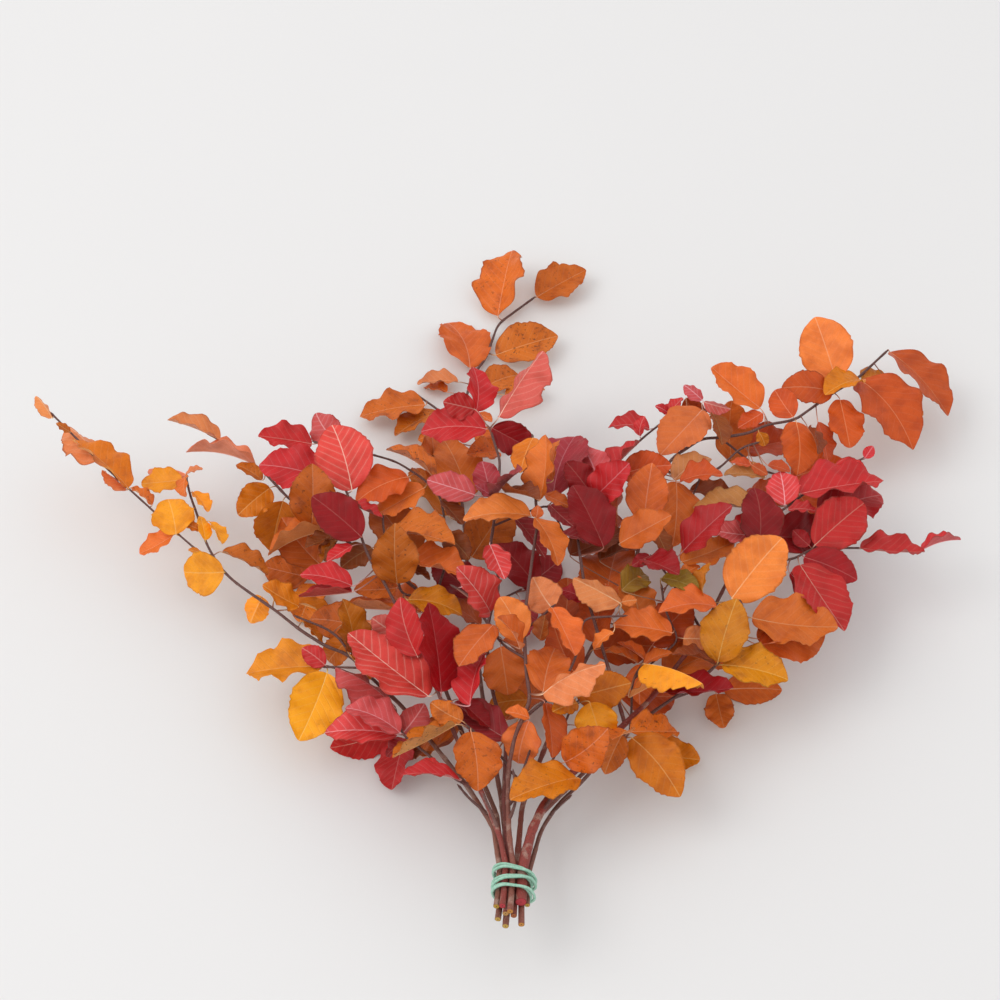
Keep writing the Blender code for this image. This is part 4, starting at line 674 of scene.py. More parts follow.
def seen_leaf(row, wood, rng, lift=0.0, tip_lift=0.0, roll=0.0, size=1.0, back=0):
    """The leaf that a row of the plan describes, on the nearest wood of its twig.

    The tip lies where its line of sight meets a plane through the base that leans to the viewer, or
    farther along that line where the blade would be too short for its width. The blade rolls about
    its midrib until it looks as wide as the row says, with its face as far up as that allows. A leaf
    on wood that nearly lies on the table is pressed flat there, and the bunch rests on it.
    """
    base_column, base_row, tip_column, tip_row, seen_width = row[:5]
    distances = [np.hypot(*(place_in_picture(p) - (base_column, base_row))) for p in wood]
    order = np.argsort(distances, kind="stable")
    root = wood[int(order[min(back, len(wood) - 1)])]
    pressed = root.z < PRESSED_HEIGHT * MM
    base = sight(base_column, base_row, 0.3 if pressed else root.z / MM + BASE_LIFT + lift)
    if (base - root).length < 3 * MM:
        base = root + (sight(tip_column, tip_row, root.z / MM) - root).normalized() * 4 * MM
    lean = LEAN_TO_VIEWER * min(1.0, root.z / MM / LEAN_HEIGHT) + rng.gauss(0.0, LEAN_SPREAD)
    tilt = rng.gauss(0.0, TILT_SPREAD)
    plane = Vector((math.sin(tilt), -math.sin(lean), math.cos(lean))).normalized()
    ray = line_of_sight(tip_column, tip_row)
    tip = EYE + ray * ((base - EYE).dot(plane) / ray.dot(plane))
    seen = abs(seen_width) / pixels_a_metre(base)
    needed = seen / MOST_WIDTH_OVER_LENGTH
    if (tip - base).length < needed:
        closest = EYE + ray * ((base - EYE).dot(ray) / ray.length_squared)
        rest = needed**2 - (closest - base).length_squared
        tip = closest + ray.normalized() * math.sqrt(max(rest, 0.0))
        if tip.z < 2 * MM:
            tip = closest - ray.normalized() * math.sqrt(max(rest, 0.0))
    tip = tip - ray * (tip_lift * MM / -ray.z)
    tip = base + (tip - base) * size
    if pressed or tip.z < BLADE_THICKNESS:
        tip = EYE + ray * ((BLADE_THICKNESS * (0.3 if pressed else 1.0) - EYE.z) / ray.z)
    width = max((tip - base).length * WIDTH_OVER_LENGTH * rng.uniform(*WIDTH_SPREAD), seen * size)
    along = (tip - base).normalized()
    to_eye = (EYE - base).normalized()
    face = (to_eye - along * to_eye.dot(along)).normalized()
    turn = math.acos(min(1.0, seen / width))
    side = along.cross(face)
    both = [face * math.cos(a) + side * math.sin(a) for a in (turn, -turn)]
    facing = Vector((0.0, 0.0, 1.0)) if pressed else max(both, key=lambda v: v.z)
    if not pressed:
        facing = facing * math.cos(roll) + along.cross(facing) * math.sin(roll)
    leaf = Leaf(root, base, tip, facing, width, rng)
    leaf.seen_width = seen
    leaf.look = row[5] if len(row) > 5 else ""
    leaf.fold += EDGE_ON_FOLD * max(0.0, 1.0 - seen / width)
    if pressed:
        leaf.fold, leaf.arch, leaf.wave = 0.0, 0.0, 0.0
    if seen_width < 0:
        leaf.fold = -leaf.fold
    return leaf

print("leaves lean", round(math.degrees(LEAN_TO_VIEWER)), "degrees to the viewer at most")

# %% A clear place for a leaf
TRIES = 200
LIFT_SHIFT = -9.0, 15.0    # mm, at the last try
TIP_SHIFT = -40.0, 45.0    # mm
ROLL_SHIFT = -50.0, 50.0   # degrees
SHRINK = 0.12
ROOT_SHIFT = 12.0          # places along the wood


def clear_leaf(row, wood, owner, placed, number, tries=TRIES):
    """The first version of a leaf that touches nothing placed, trying ever larger shifts of its pose."""
    for k in range(tries):
        rng = random.Random(SEED * 1000 + number)
        shift = random.Random(number * 977 + k)
        reach = k / tries
        leaf = seen_leaf(
            row, wood, rng,
            lift=reach * shift.uniform(*LIFT_SHIFT),
            tip_lift=reach * shift.uniform(*TIP_SHIFT),
            roll=reach * math.radians(shift.uniform(*ROLL_SHIFT)),
            size=1.0 - SHRINK * reach * shift.random(),
            back=int(reach * shift.uniform(0.0, ROOT_SHIFT)),
        )
        verts, faces = leaf.mesh()
        if leaf.turned_back() or crosses_itself(verts, faces):
            continue
        verts, faces = leaf.mesh(GAP)
        if placed.touched(verts, faces, owner, False):
            continue
        verts, faces = leaf.mesh(GAP, 0.5)
        if placed.touched(verts, faces, owner, True):
            continue
        return leaf, k
    return None, tries


print("up to", TRIES, "tries a leaf")

# %% [markdown]
# ## The tie
# At the tie the stems run side by side, each in its own place of the bundle's section, so that the
# bands can go round them all. Beyond the tie they spread.

# %% Stems through the tie
TIE_COLUMN_ROW_HEIGHT = (513, 884, 64)
TIE_AXIS = Vector((-0.05, -0.98, 0.19)).normalized()
TIE_HALF_LENGTH = 15 * MM
TIE_SPREAD = 6.0           # growth of the section a metre beyond the tie
TWIG_SLANT = 0.8           # how far back a twig leaves the wood, over its gap to it
WOOD_TRIES = 60
WOOD_STEP_MM = 2.0
BANDS = {
    # along the tie (mm), strand radius (mm), sway of the strand along the tie (mm), slant (mm a radius)
    "upper_band": (-9.0, 1.3, 2.8, 2.6),
    "middle_band": (1.5, 1.3, 2.6, -2.0),
    "lower_band": (11.0, 1.2, 1.6, 0.8),
}


def tie_point(place, along):
    """A point of the tied bundle: its place in the section, and how far along toward the cut ends."""
    right = Vector((0.0, 0.0, 1.0)).cross(-TIE_AXIS).normalized() * -1.0
    up = TIE_AXIS.cross(right).normalized()
    if up.z < 0:
        up = -up
    spread = 1.0 + max(0.0, abs(along) - TIE_HALF_LENGTH) * TIE_SPREAD
    centre = sight(*TIE_COLUMN_ROW_HEIGHT) + TIE_AXIS * along
    return centre + (right * place[0] + up * place[1]) * MM * spread


def stem_path(plan):
    """The stem from its cut end through the tie and on along the plan's path."""
    place = plan["place"]
    start = [tie_point(place, plan["cut"] * MM), tie_point(place, TIE_HALF_LENGTH),
             tie_point(place, -TIE_HALF_LENGTH)]
    return start + [sight(*p) for p in plan["grown"][0][0]]


def lengths(points):
    """Distance along a path at each of its points."""
    steps = [(b - a).length for a, b in zip(points, points[1:])]
    return [sum(steps[:i]) for i in range(len(points))]


def taper(points, start, end):
    """A radius for each point of a path, falling from start to end, faster near the start."""
    run = lengths(points)
    return [end + (start - end) * (1.0 - d / run[-1]) ** TAPER_POWER for d in run]


def twig_root(grown, first):
    """Where a twig leaves the wood, a little nearer the tie than the closest place, and its radius."""
    best = None
    for points, radii, first_free in grown:
        run = lengths(points)
        for i in range(first_free, len(points) - 1):
            a, b = points[i], points[i + 1]
            share = max(0.0, min(1.0, (first - a).dot(b - a) / (b - a).length_squared))
            gap = (a + (b - a) * share - first).length
            if best is None or gap < best[0]:
                best = gap, points, radii, run, run[i] + share * (run[i + 1] - run[i]), run[first_free]
    gap, points, radii, run, at, least = best
    at = min(max(at - TWIG_SLANT * gap, least + 1 * MM), run[-1] - 1 * MM)
    i = max(k for k in range(len(run) - 1) if run[k] <= at)
    share = (at - run[i]) / (run[i + 1] - run[i])
    return points[i] + (points[i + 1] - points[i]) * share, radii[i] + (radii[i + 1] - radii[i]) * share


def clear_wood(points, radii, sides, owner, placed, keep):
    """A tube that touches no other branch: its points after the first keep rise or sink in steps."""
    for k in range(WOOD_TRIES):
        step = (k + 1) // 2 * (1 if k % 2 else -1) * WOOD_STEP_MM * MM
        moved = list(points)
        for i in range(keep, len(points)):
            ray = points[i] - EYE
            share = min(1.0, (i - keep + 1) / 2)
            moved[i] = points[i] - ray * (step * share / -ray.z)
        verts, faces = tube(moved, [r + GAP for r in radii], sides)
        if verts[:, 2].min() > 0.3 * MM and not placed.touched(verts, faces, owner, False):
            return moved
    print("no clear way for wood of", owner)
    return points

print("tie's middle", tuple(round(x, 3) for x in tie_point((0.0, 0.0), 0.0)))

# %% Paths of the bands
BAND_GAP = 0.35 * MM
BAND_POINTS = 15
STRAND_SWING = 1.25        # over the strand's radius
SLANT_REACH = 15.0         # mm across the bundle


def section_hull(gap):
    """The line round the stems' sections at a gap, as (right, up) pairs in millimetres, and out from it."""
    ring = []
    for k in range(BAND_POINTS):
        angle = 2 * math.pi * k / BAND_POINTS
        way = np.array([math.cos(angle), math.sin(angle)])
        places = [(np.array(b["place"][:2]) @ way + b["place"][2], b["place"]) for b in BRANCHES.values()]
        x, y, radius = max(places)[1]
        ring.append((np.array([x, y]) + way * (radius + gap), way))
    return ring


def band_path(along, radius, sway, slant):
    """A band wound twice round the bundle: the strand swings out and along by half a turn each round."""
    swing = radius * STRAND_SWING
    ring = section_hull(BAND_GAP / MM + radius + swing)
    path = []
    for k in range(2 * len(ring)):
        (x, y), (out_x, out_y) = ring[k % len(ring)]
        angle = math.pi * k / len(ring)
        far = swing * math.cos(angle)
        place = (x + out_x * far, y + out_y * far)
        lean = slant * x / SLANT_REACH
        path.append(tie_point(place, (along + lean + sway * math.sin(angle)) * MM))
    return path


print("a band's path has", len(band_path(*BANDS["upper_band"])), "points")

# %% [markdown]
# ## Laying out the bunch
# Stems come first, then twigs, then the broad leaves and the narrow ones from the table upwards. Last,
# leaves are added under the others wherever the thick part of the bunch would let the table show.

# %% Order of placing
BROAD_LEAF = 34


def lay_out():
    """Every tube and leaf of every branch, placed clear of one another."""
    placed = Placed()
    wood, leaves = {name: [] for name in BRANCHES}, {name: [] for name in BRANCHES}
    for name, plan in BRANCHES.items():
        points = stem_path(plan)
        radii = taper(points, plan["place"][2] * MM, plan["end"] * MM)
        radii[:3] = [plan["place"][2] * MM] * 3
        points = clear_wood(points, radii, STEM_SIDES, name, placed, 3)
        placed.add(*tube(points, radii, STEM_SIDES), name)
        wood[name].append((points, radii, STEM_SIDES))
    for name, plan in BRANCHES.items():
        for path, _ in plan["grown"][1:]:
            points = [sight(*p) for p in path]
            grown = [(w[0], w[1], 3 if i == 0 else 1) for i, w in enumerate(wood[name])]
            start, thickness = twig_root(grown, points[0])
            points.insert(0, start)
            radii = taper(points, min(TWIG_ROOT_RADIUS, 0.8 * thickness), TWIG_END_RADIUS)
            points = clear_wood(points, radii, TWIG_SIDES, name, placed, 1)
            placed.add(*tube(points, radii, TWIG_SIDES), name)
            wood[name].append((points, radii, TWIG_SIDES))
    rows = []
    for name, plan in BRANCHES.items():
        for (points, _, _), (_, plan_leaves) in zip(wood[name], plan["grown"]):
            free = points[3:] if points is wood[name][0][0] else points[-max(2, len(points) - 1):]
            dense = [a + (b - a) * k / 8 for a, b in zip(free, free[1:]) for k in range(8)]
            dense.append(free[-1] + (free[-2] - free[-1]).normalized() * 1.5 * MM)
            rows += [(name, row, dense) for row in plan_leaves]
    broad = [row[4] < BROAD_LEAF for _, row, _ in rows]
    order = sorted(range(len(rows)), key=lambda i: (broad[i], min(p.z for p in rows[i][2])))
    lost, tries = 0, []
    for number in order:
        name, row, dense = rows[number]
        leaf, k = clear_leaf(row, dense, name, placed, number)
        tries.append(k)
        if leaf is None:
            lost += 1
            print("no clear place:", name, row)
            continue
        placed.add(*leaf.mesh(), name)
        leaves[name].append(leaf)
    print("leaves", len(rows), "lost", lost, "tries", sum(tries))
    fill_gaps(wood, leaves, placed)
    return wood, leaves


# %% What the leaves hide
CELL = 4
FILL_REACH = 16


class Cover:
    """Which places of the picture the leaves hide, in square cells."""

    def __init__(self):
        self.hidden = np.zeros((1000 // CELL, 1000 // CELL), bool)

    def add(self, leaf):
        """Marks the cells whose middles one of the leaf's triangles hides."""
        verts, faces = leaf.mesh()
        seen = np.array([place_in_picture(Vector(v)) for v in verts]) / CELL - 0.5
        for face in faces[:len(faces) // 2]:
            a, b, c = seen[list(face[:3])]
            low = np.maximum(np.floor(np.minimum(np.minimum(a, b), c)).astype(int), 0)
            high = np.minimum(np.ceil(np.maximum(np.maximum(a, b), c)).astype(int) + 1, len(self.hidden))
            x, y = np.meshgrid(np.arange(low[0], high[0]), np.arange(low[1], high[1]))
            sides = [(q[0] - p[0]) * (y - p[1]) - (q[1] - p[1]) * (x - p[0])
                     for p, q in ((a, b), (b, c), (c, a))]
            inside = np.all([d >= 0 for d in sides], axis=0) | np.all([d <= 0 for d in sides], axis=0)
            self.hidden[low[1]:high[1], low[0]:high[0]] |= inside

    def open_share(self, column, row):
        """How much of the picture round a place is still open."""
        x, y, reach = int(column / CELL), int(row / CELL), int(FILL_REACH / CELL)
        return 1.0 - self.hidden[y - reach:y + reach + 1, x - reach:x + reach + 1].mean()


def inside_outline(column, row, outline):
    """Whether a place lies inside a closed outline, by counting the sides to its right."""
    crossings = 0
    for (x1, y1), (x2, y2) in zip(outline, outline[1:] + outline[:1]):
        if (y1 > row) != (y2 > row) and column < x1 + (row - y1) * (x2 - x1) / (y2 - y1):
            crossings += 1
    return crossings % 2 == 1


# %% Leaves under the others
FILL_OUTLINE = [(262, 470), (330, 455), (400, 480), (440, 440), (500, 420), (560, 450), (640, 440),
                (700, 420), (780, 440), (860, 420), (870, 500), (850, 600), (780, 660), (700, 690),
                (640, 700), (600, 750), (530, 760), (440, 760), (350, 720), (330, 650), (300, 600)]
FILL_STEP = 12
FILL_OPEN = 0.4
FILL_LEAVES = 64
FILL_TRIES = 40
FILL_PETIOLE = 45 * MM
FILL_OTHER_BRANCH = 25
FILL_HALF_LENGTH = 26, 36
FILL_WIDTH = 1.25, 1.6     # over half the length
FILL_TURN = -0.9, 0.9      # radians from straight out
FILL_EASY_HEIGHT = 40      # mm, above which a stem is a worse choice
BUNCH_FOOT = 515, 780


def fill_gaps(wood, leaves, placed):
    """Leaves under the others, on the stems, wherever the bunch would let the table show through."""
    cover = Cover()
    for grown in leaves.values():
        for leaf in grown:
            cover.add(leaf)
    rng = random.Random(SEED)
    places = [(c, r) for c in range(0, 1000, FILL_STEP) for r in range(0, 1000, FILL_STEP)
              if inside_outline(c, r, FILL_OUTLINE)]
    rng.shuffle(places)
    stems = []
    for name in BRANCHES:
        for points, _, _ in wood[name]:
            start = 4 if points is wood[name][0][0] else 1
            for a, b in zip(points[start:], points[start + 1:]):
                stems += [(name, a + (b - a) * k / 4) for k in range(4)]
    seen = np.array([place_in_picture(p) for _, p in stems])
    heights = np.array([p.z / MM for _, p in stems])
    branches = np.array([name for name, _ in stems])
    middles = [(name, place_in_picture((leaf.base + leaf.base + leaf.along * leaf.length) / 2))
               for name, grown in leaves.items() for leaf in grown]
    around = np.array([middle for _, middle in middles])
    added = 0
    for column, row in places:
        if added == FILL_LEAVES or cover.open_share(column, row) < FILL_OPEN:
            continue
        outward = math.atan2(row - BUNCH_FOOT[1], column - BUNCH_FOOT[0]) + rng.uniform(*FILL_TURN)
        reach = rng.uniform(*FILL_HALF_LENGTH)
        way = np.array([math.cos(outward), math.sin(outward)]) * reach
        start, end = np.array([column, row]) - way, np.array([column, row]) + way
        cost = np.hypot(*(seen - start).T) + np.maximum(heights - FILL_EASY_HEIGHT, 0)
        nearest = middles[int(np.argmin(np.hypot(*(around - (column, row)).T)))][0]
        cost = cost + FILL_OTHER_BRANCH * (branches != nearest)
        name, root = stems[int(np.argmin(cost))]
        plan_row = (*start, *end, rng.uniform(*FILL_WIDTH) * reach)
        leaf, _ = clear_leaf(plan_row, [root], name, placed, 1000 + added, FILL_TRIES)
        if leaf is None or (leaf.base - leaf.root).length > FILL_PETIOLE:
            continue
        leaf.filler = True
        placed.add(*leaf.mesh(), name)
        leaves[name].append(leaf)
        cover.add(leaf)
        added += 1
    print("leaves under the others", added)

# %% [markdown]
# ## Looks of the leaves
# Preserved beech leaves are soaked in dye and glycerine, so they stay supple and keep their own pattern
# under the dye. Each look names the colour of the upper face, of the paler underside and of the veins,
# how far the veins show, and how spotted the leaf is.

# %% The table of looks
LOOKS = {
    # letter: (upper face, underside, veins, how far the veins show, spots)
    "c": ("C82628", "C05450", "E8B4AC", 0.08, 0.0),  # crimson
    "k": ("D6403C", "C8645E", "F2D0C8", 0.18, 0.0),  # light crimson with white veins
    "d": ("960810", "98343C", "C4786E", 0.06, 0.0),  # deep crimson
    "p": ("CE5450", "CC7470", "EEC4BE", 0.14, 0.0),  # pink
    "m": ("A83038", "B05A5C", "D6A0A0", 0.10, 0.0),  # mauve
    "r": ("C85018", "CE7242", "E6A480", 0.06, 0.1),  # red-orange
    "o": ("DC6C26", "DE8650", "EAB490", 0.07, 0.1),  # orange
    "b": ("E67C36", "E49462", "F0C09A", 0.07, 0.0),  # bright orange
    "s": ("E58450", "E69A70", "F2CAAA", 0.10, 0.1),  # salmon
    "w": ("C48448", "CC9A68", "DEB894", 0.14, 0.3),  # tan
    "n": ("8E4216", "9A5A34", "B48A62", 0.10, 0.4),  # brown
    "v": ("947018", "A08438", "C0A468", 0.10, 0.6),  # olive
    "g": ("CE7C08", "D09838", "E6BC74", 0.07, 0.5),  # ochre
    "a": ("D07202", "D8923A", "EEC27C", 0.07, 0.3),  # amber
    "y": ("F6A01A", "F0B04E", "F4D084", 0.07, 0.2),  # golden amber
    "t": ("D06A18", "D48C50", "E6B288", 0.07, 0.9),  # spotted amber-orange
}
# Leaves under the others take darker looks, in turns: painted shade where the inside of the bunch lies in
# shade.
PAINTED_SHADE_LOOKS = {"c": "dc", "m": "dm", "o": "ro", "r": "ro", "t": "ot", "a": "ta"}  # looks under the others
print(len(LOOKS), "looks")

# %% [markdown]
# ## A leaf's surface
# The blade is a grid of points worked out from two numbers, s from base to tip and t from one margin to
# the other. The plan's own blade gives the large form; a finer formula adds what a beech leaf shows near
# by: side veins that leave the midrib at about 50 degrees, the pleats between them, a tooth where each
# vein ends, a crinkled margin, and bites where it was eaten. The upper and lower faces are one closed
# skin, so that the leaf is solid.

# %% The grid of a blade
BLADE_ROWS = 30
ACROSS = np.array([0.0, 0.05, 0.18, 0.34, 0.5, 0.66, 0.83, 1.0])
LEAF_HALF_THICKNESS = 0.16 * MM
OFF_TABLE = 0.05 * MM
VEIN_SLOPE = 0.8          # the way along the midrib for each way across it
VEIN_CURVE = 5.0          # and how the veins turn to the tip, a metre
TOOTH = 0.034             # tooth height over half the blade's width
RIB_RADIUS_MM = 0.5
PLEAT = 0.014, 0.032      # least and most over the leaf's width, as the crinkle
CRINKLE = 0.01, 0.026
BITES = 0, 0, 0, 1        # how many a leaf may have
BITES_SPOTTED = 0, 1, 1, 2
BITTEN_SPOTS = 0.4
BITE_LENGTH = 0.03, 0.05  # over the leaf's length
BITE_DEPTH = 0.04, 0.1    # over half its width


def unit(vectors):
    """The vectors, each one long."""
    return vectors / np.linalg.norm(vectors, axis=-1, keepdims=True)


def shares_along(count):
    """Places from base to tip, closer together near both ends, where the outline turns fast."""
    u = np.linspace(0.012, 0.99, count)
    return 0.5 * u + 0.5 * (0.5 - 0.5 * np.cos(math.pi * u))


def vein_phase(leaf, s, lateral, side, count):
    """How many side veins lie between the base and a point; whole numbers lie on veins.

    A point's vein left the midrib at s times the length, less slope times the way across, less curve
    times its square. The two sides take turns, half a vein apart.
    """
    origin = s - (VEIN_SLOPE * lateral + VEIN_CURVE * lateral**2) / leaf.length
    origin = np.where(origin < 0, origin * 0.35, origin)
    return origin * count + np.where(side < 0, 0.5, 0.0)


def fine_blade(leaf, number, spots):
    """The blade's middle surface and what the leaf's material reads: points, veins, blade.

    The outline is the plan's, times 1 plus a tooth where a vein ends, less a few bites, each a bell
    curve. The height is the plan's plus a pleat, the size of a half wave's |sin| between two veins, and
    a crinkle that grows with the fourth power of t.
    """
    rng = random.Random(number)
    s, t = np.meshgrid(shares_along(BLADE_ROWS), np.concatenate([-ACROSS[:0:-1], ACROSS]), indexing="ij")
    count = 4.5 + leaf.length / MM / 18
    half = half_width(s, leaf.point) * leaf.width / 2
    margin = vein_phase(leaf, s, half, t, count)
    edge = 1.0 + TOOTH * np.cos(2 * math.pi * margin)
    for _ in range(rng.choice(BITES_SPOTTED) if spots > BITTEN_SPOTS else rng.choice(BITES)):
        place, side = rng.uniform(0.3, 0.95), rng.choice([-1.0, 1.0])
        bite = np.exp(-(((s - place) / rng.uniform(*BITE_LENGTH)) ** 2)) * rng.uniform(*BITE_DEPTH)
        edge -= np.where(t * side > 0, bite, 0.0)
    lateral = np.abs(t) * edge * half
    phase = vein_phase(leaf, s, lateral, t, count)
    pleat = rng.uniform(*PLEAT) * leaf.width
    crinkle = rng.uniform(*CRINKLE) * leaf.width
    inner = np.clip(np.abs(t) / 0.2, 0, 1) * np.minimum(1.0, 1.7 * half_width(s, leaf.point))
    up = pleat * (np.abs(np.sin(math.pi * phase)) - 0.6) * inner
    up += crinkle * t**4 * np.sin(math.pi * margin + rng.uniform(0, 6.3)) * inner
    points = leaf.blade(s.ravel(), (t * edge).ravel()).reshape(*s.shape, 3)
    points = points + up[..., None] * np.array(leaf.facing)
    veins = np.stack([phase, lateral / MM, np.full_like(s, leaf.length / MM / count)], axis=-1)
    return points, veins, s, t


# %% Both faces of a blade
def closed_skin(points, ends, half):
    """Both faces of a sheet as one closed skin: rings across the sheet's top and back along its
    underside, half a thickness out along the normal, drawn together at a point at each end.

    A quad is split from its first corner. It starts where the split runs along the veins, on the
    underside as on the top, so that the two faces of a folded sheet can't cross.
    """
    normal = unit(np.cross(np.gradient(points, axis=0), np.gradient(points, axis=1)))
    top, low = points + normal * half, points - normal * half
    low[..., 2] = np.maximum(low[..., 2], OFF_TABLE)
    top[..., 2] = np.maximum(top[..., 2], low[..., 2] + half)
    rings = np.concatenate([top, low[:, ::-1]], axis=1)
    rows, across = rings.shape[:2]
    index = np.arange(rows * across).reshape(rows, across)
    a, b = index, np.roll(index, -1, axis=1)
    quads = np.stack([a[:-1], a[1:], b[1:], b[:-1]], axis=-1)
    other_split = np.arange(across) % (across // 2) < across // 4
    quads = np.where(other_split[:, None], np.roll(quads, -1, axis=-1), quads).reshape(-1, 4)
    base, tip = np.full(across, rows * across), np.full(across, rows * across + 1)
    caps = np.concatenate([np.stack([base, a[0], b[0]], axis=-1), np.stack([tip, b[-1], a[-1]], axis=-1)])
    return np.concatenate([rings.reshape(-1, 3), ends]), quads, caps

print("a blade has", BLADE_ROWS * (4 * len(ACROSS) - 2), "points")

# %% [markdown]
# ## Stalks, ribs and wood
# A stem, a twig, a leaf's stalk and its midrib are all a ring carried along a path. The paths of the
# plan are short straight runs; they are cut into steps of a few millimetres and evened out, as growing
# wood is, and each stalk and twig starts again on the evened path that carries it.

# %% Rings along a path
STEP = 4 * MM
EVEN_STEPS = 5


def distances(path):
    """Distance along a path at each of its points."""
    return np.concatenate([[0], np.cumsum(np.linalg.norm(np.diff(path, axis=0), axis=1))])


def at_distances(path, at):
    """The points of a path at these distances along it."""
    run = distances(path)
    return np.stack([np.interp(at, run, path[:, k]) for k in range(3)], axis=1)


def neighbour_mean(path, count):
    """The mean of every count points in a row."""
    kernel = np.ones(count) / count
    return np.stack([np.convolve(path[:, k], kernel, "valid") for k in range(3)], axis=1)


def circles(side, other, radius, sides):
    """Offsets of rings of points, one ring for each pair of axes and radius."""
    angle = 2 * math.pi * np.arange(sides) / sides
    circle = side[:, None] * np.cos(angle)[:, None] + other[:, None] * np.sin(angle)[:, None]
    return circle * radius


def even_path(points, keep=0):
    """A path cut into equal steps, each point moved to the mean of its neighbours; ends stay."""
    points = np.array([tuple(p) for p in points])
    end = distances(points)[-1]
    at = np.linspace(0, end, max(4, int(end / STEP)) + 1)
    path = at_distances(points, at)
    smooth = neighbour_mean(np.pad(path, ((EVEN_STEPS // 2,) * 2, (0, 0)), "edge"), EVEN_STEPS)
    share = np.clip(np.minimum(at - keep, end - at) / (3 * STEP), 0, 1)[:, None]
    return path + (smooth - path) * share, at


def ring_axes(path):
    """Two unit vectors square to the path at each point, turned as little as one fixed vector lets."""
    ahead = unit(np.gradient(path, axis=0))
    choices = np.array([(0, 0, 1), (0, 1, 0), (1, 0, 0), (0.6, 0.6, 0.53), (-0.6, 0.6, 0.53)])
    fixed = choices[np.argmin(np.abs(ahead @ choices.T).max(axis=0))]
    side = unit(np.cross(ahead, fixed))
    return side, np.cross(ahead, side)


def swept(path, radii, sides, face_rings=()):
    """A closed round rod along a path: circles of these radii, with rings of a sawn face before them.

    face_rings are shares of the first radius, from the middle out. Returns points, quads, caps, and
    for each point its distance from the axis and its distance along.
    """
    side, other = ring_axes(path)
    order = np.array([0] * len(face_rings) + list(range(len(path))))
    radius = np.concatenate([np.array(face_rings) * radii[0], radii])
    rings = path[order][:, None] + circles(side[order], other[order], radius[:, None, None], sides)
    rows = len(order)
    index = np.arange(rows * sides).reshape(rows, sides)
    a, b = index, np.roll(index, -1, axis=1)
    quads = np.stack([a[:-1], b[:-1], b[1:], a[1:]], axis=-1).reshape(-1, 4)
    start, end = np.full(sides, rows * sides), np.full(sides, rows * sides + 1)
    caps = np.concatenate([np.stack([start, b[0], a[0]], axis=-1), np.stack([end, a[-1], b[-1]], axis=-1)])
    points = np.concatenate([rings.reshape(-1, 3), [path[0], path[-1]]])
    run = distances(path)[order]
    off_axis = np.concatenate([np.repeat(radius, sides), [0, 0]])
    along = np.concatenate([np.repeat(run, sides), [run[0], run[-1]]])
    return points, quads, caps, off_axis, along


# %% Skins gathered into a piece
class Pile:
    """Closed skins gathered for one piece, with what its material reads at each point."""

    def __init__(self):
        self.points, self.quads, self.caps, self.sawn, self.read, self.count = [], [], [], [], {}, 0

    def add(self, points, quads, caps, sawn=0, **read):
        """Adds a skin. The first sawn quads, and as many caps as they have sides, are its sawn face."""
        self.points.append(points)
        self.quads.append(quads + self.count)
        self.caps.append(caps + self.count)
        sawn_caps = len(caps) // 2 if sawn else 0
        self.sawn.append((np.arange(len(quads)) < sawn, np.arange(len(caps)) < sawn_caps))
        for name, values in read.items():
            values = np.broadcast_to(np.asarray(values, float), (len(points), np.shape(values)[-1]))
            self.read.setdefault(name, []).append(values)
        self.count += len(points)

    def piece(self, name, materials):
        """The mesh object of everything added: quads, then caps, then one attribute a reading."""
        mesh = bpy.data.meshes.new(name)
        quads, caps = np.concatenate(self.quads), np.concatenate(self.caps)
        mesh.from_pydata(np.concatenate(self.points), [], quads.tolist() + caps.tolist())
        for material in materials:
            mesh.materials.append(material)
        sawn = np.concatenate([q for q, _ in self.sawn] + [c for _, c in self.sawn])
        mesh.polygons.foreach_set("material_index", sawn.astype(np.int32))
        for reading, values in self.read.items():
            values = np.concatenate(values).astype(np.float32)
            kind, field = ("FLOAT_VECTOR", "vector") if values.shape[1] == 3 else ("FLOAT_COLOR", "color")
            mesh.attributes.new(reading, kind, "POINT").data.foreach_set(field, values.ravel())
        mesh.shade_smooth()
        mesh.set_sharp_from_angle(angle=SHARP_EDGE)
        made = bpy.data.objects.new(name, mesh)
        scene.collection.objects.link(made)
        return made


SHARP_EDGE = math.radians(58.0)

# %% [markdown]
# ## The leaf's material: dyed beech leaf
# A beech leaf is a thin, leathery blade. Glycerine leaves it with the soft gloss of waxed paper. To the
# eye it has pale straight side veins, a fine net between them, cloudy dye, and small brown spots. The
# pattern follows the leaf, so it reads the vein count and the distance from the midrib that the grid
# stored, while clouds and spots are noise in object space.

# %% Dyed beech leaf
# Side veins are 0.3 mm wide on the real leaf; they are drawn 0.7 mm wide, as they need to show.
VEIN_HALF_MM = 0.35
RIB_HALF_MM = 0.5
CLOUD_MM = 16.0
MOTTLE_MM = 1.5
NET_MM = 1.6
SPOT_MM = 3.2
PATCHES_MM = 16.0
VEIN_GLOW_MM = 0.3, 2.6
DEEPER = (0.66, 0.5, 0.42, 1.0)
LEAF_RELIEF = 0.3 * MM


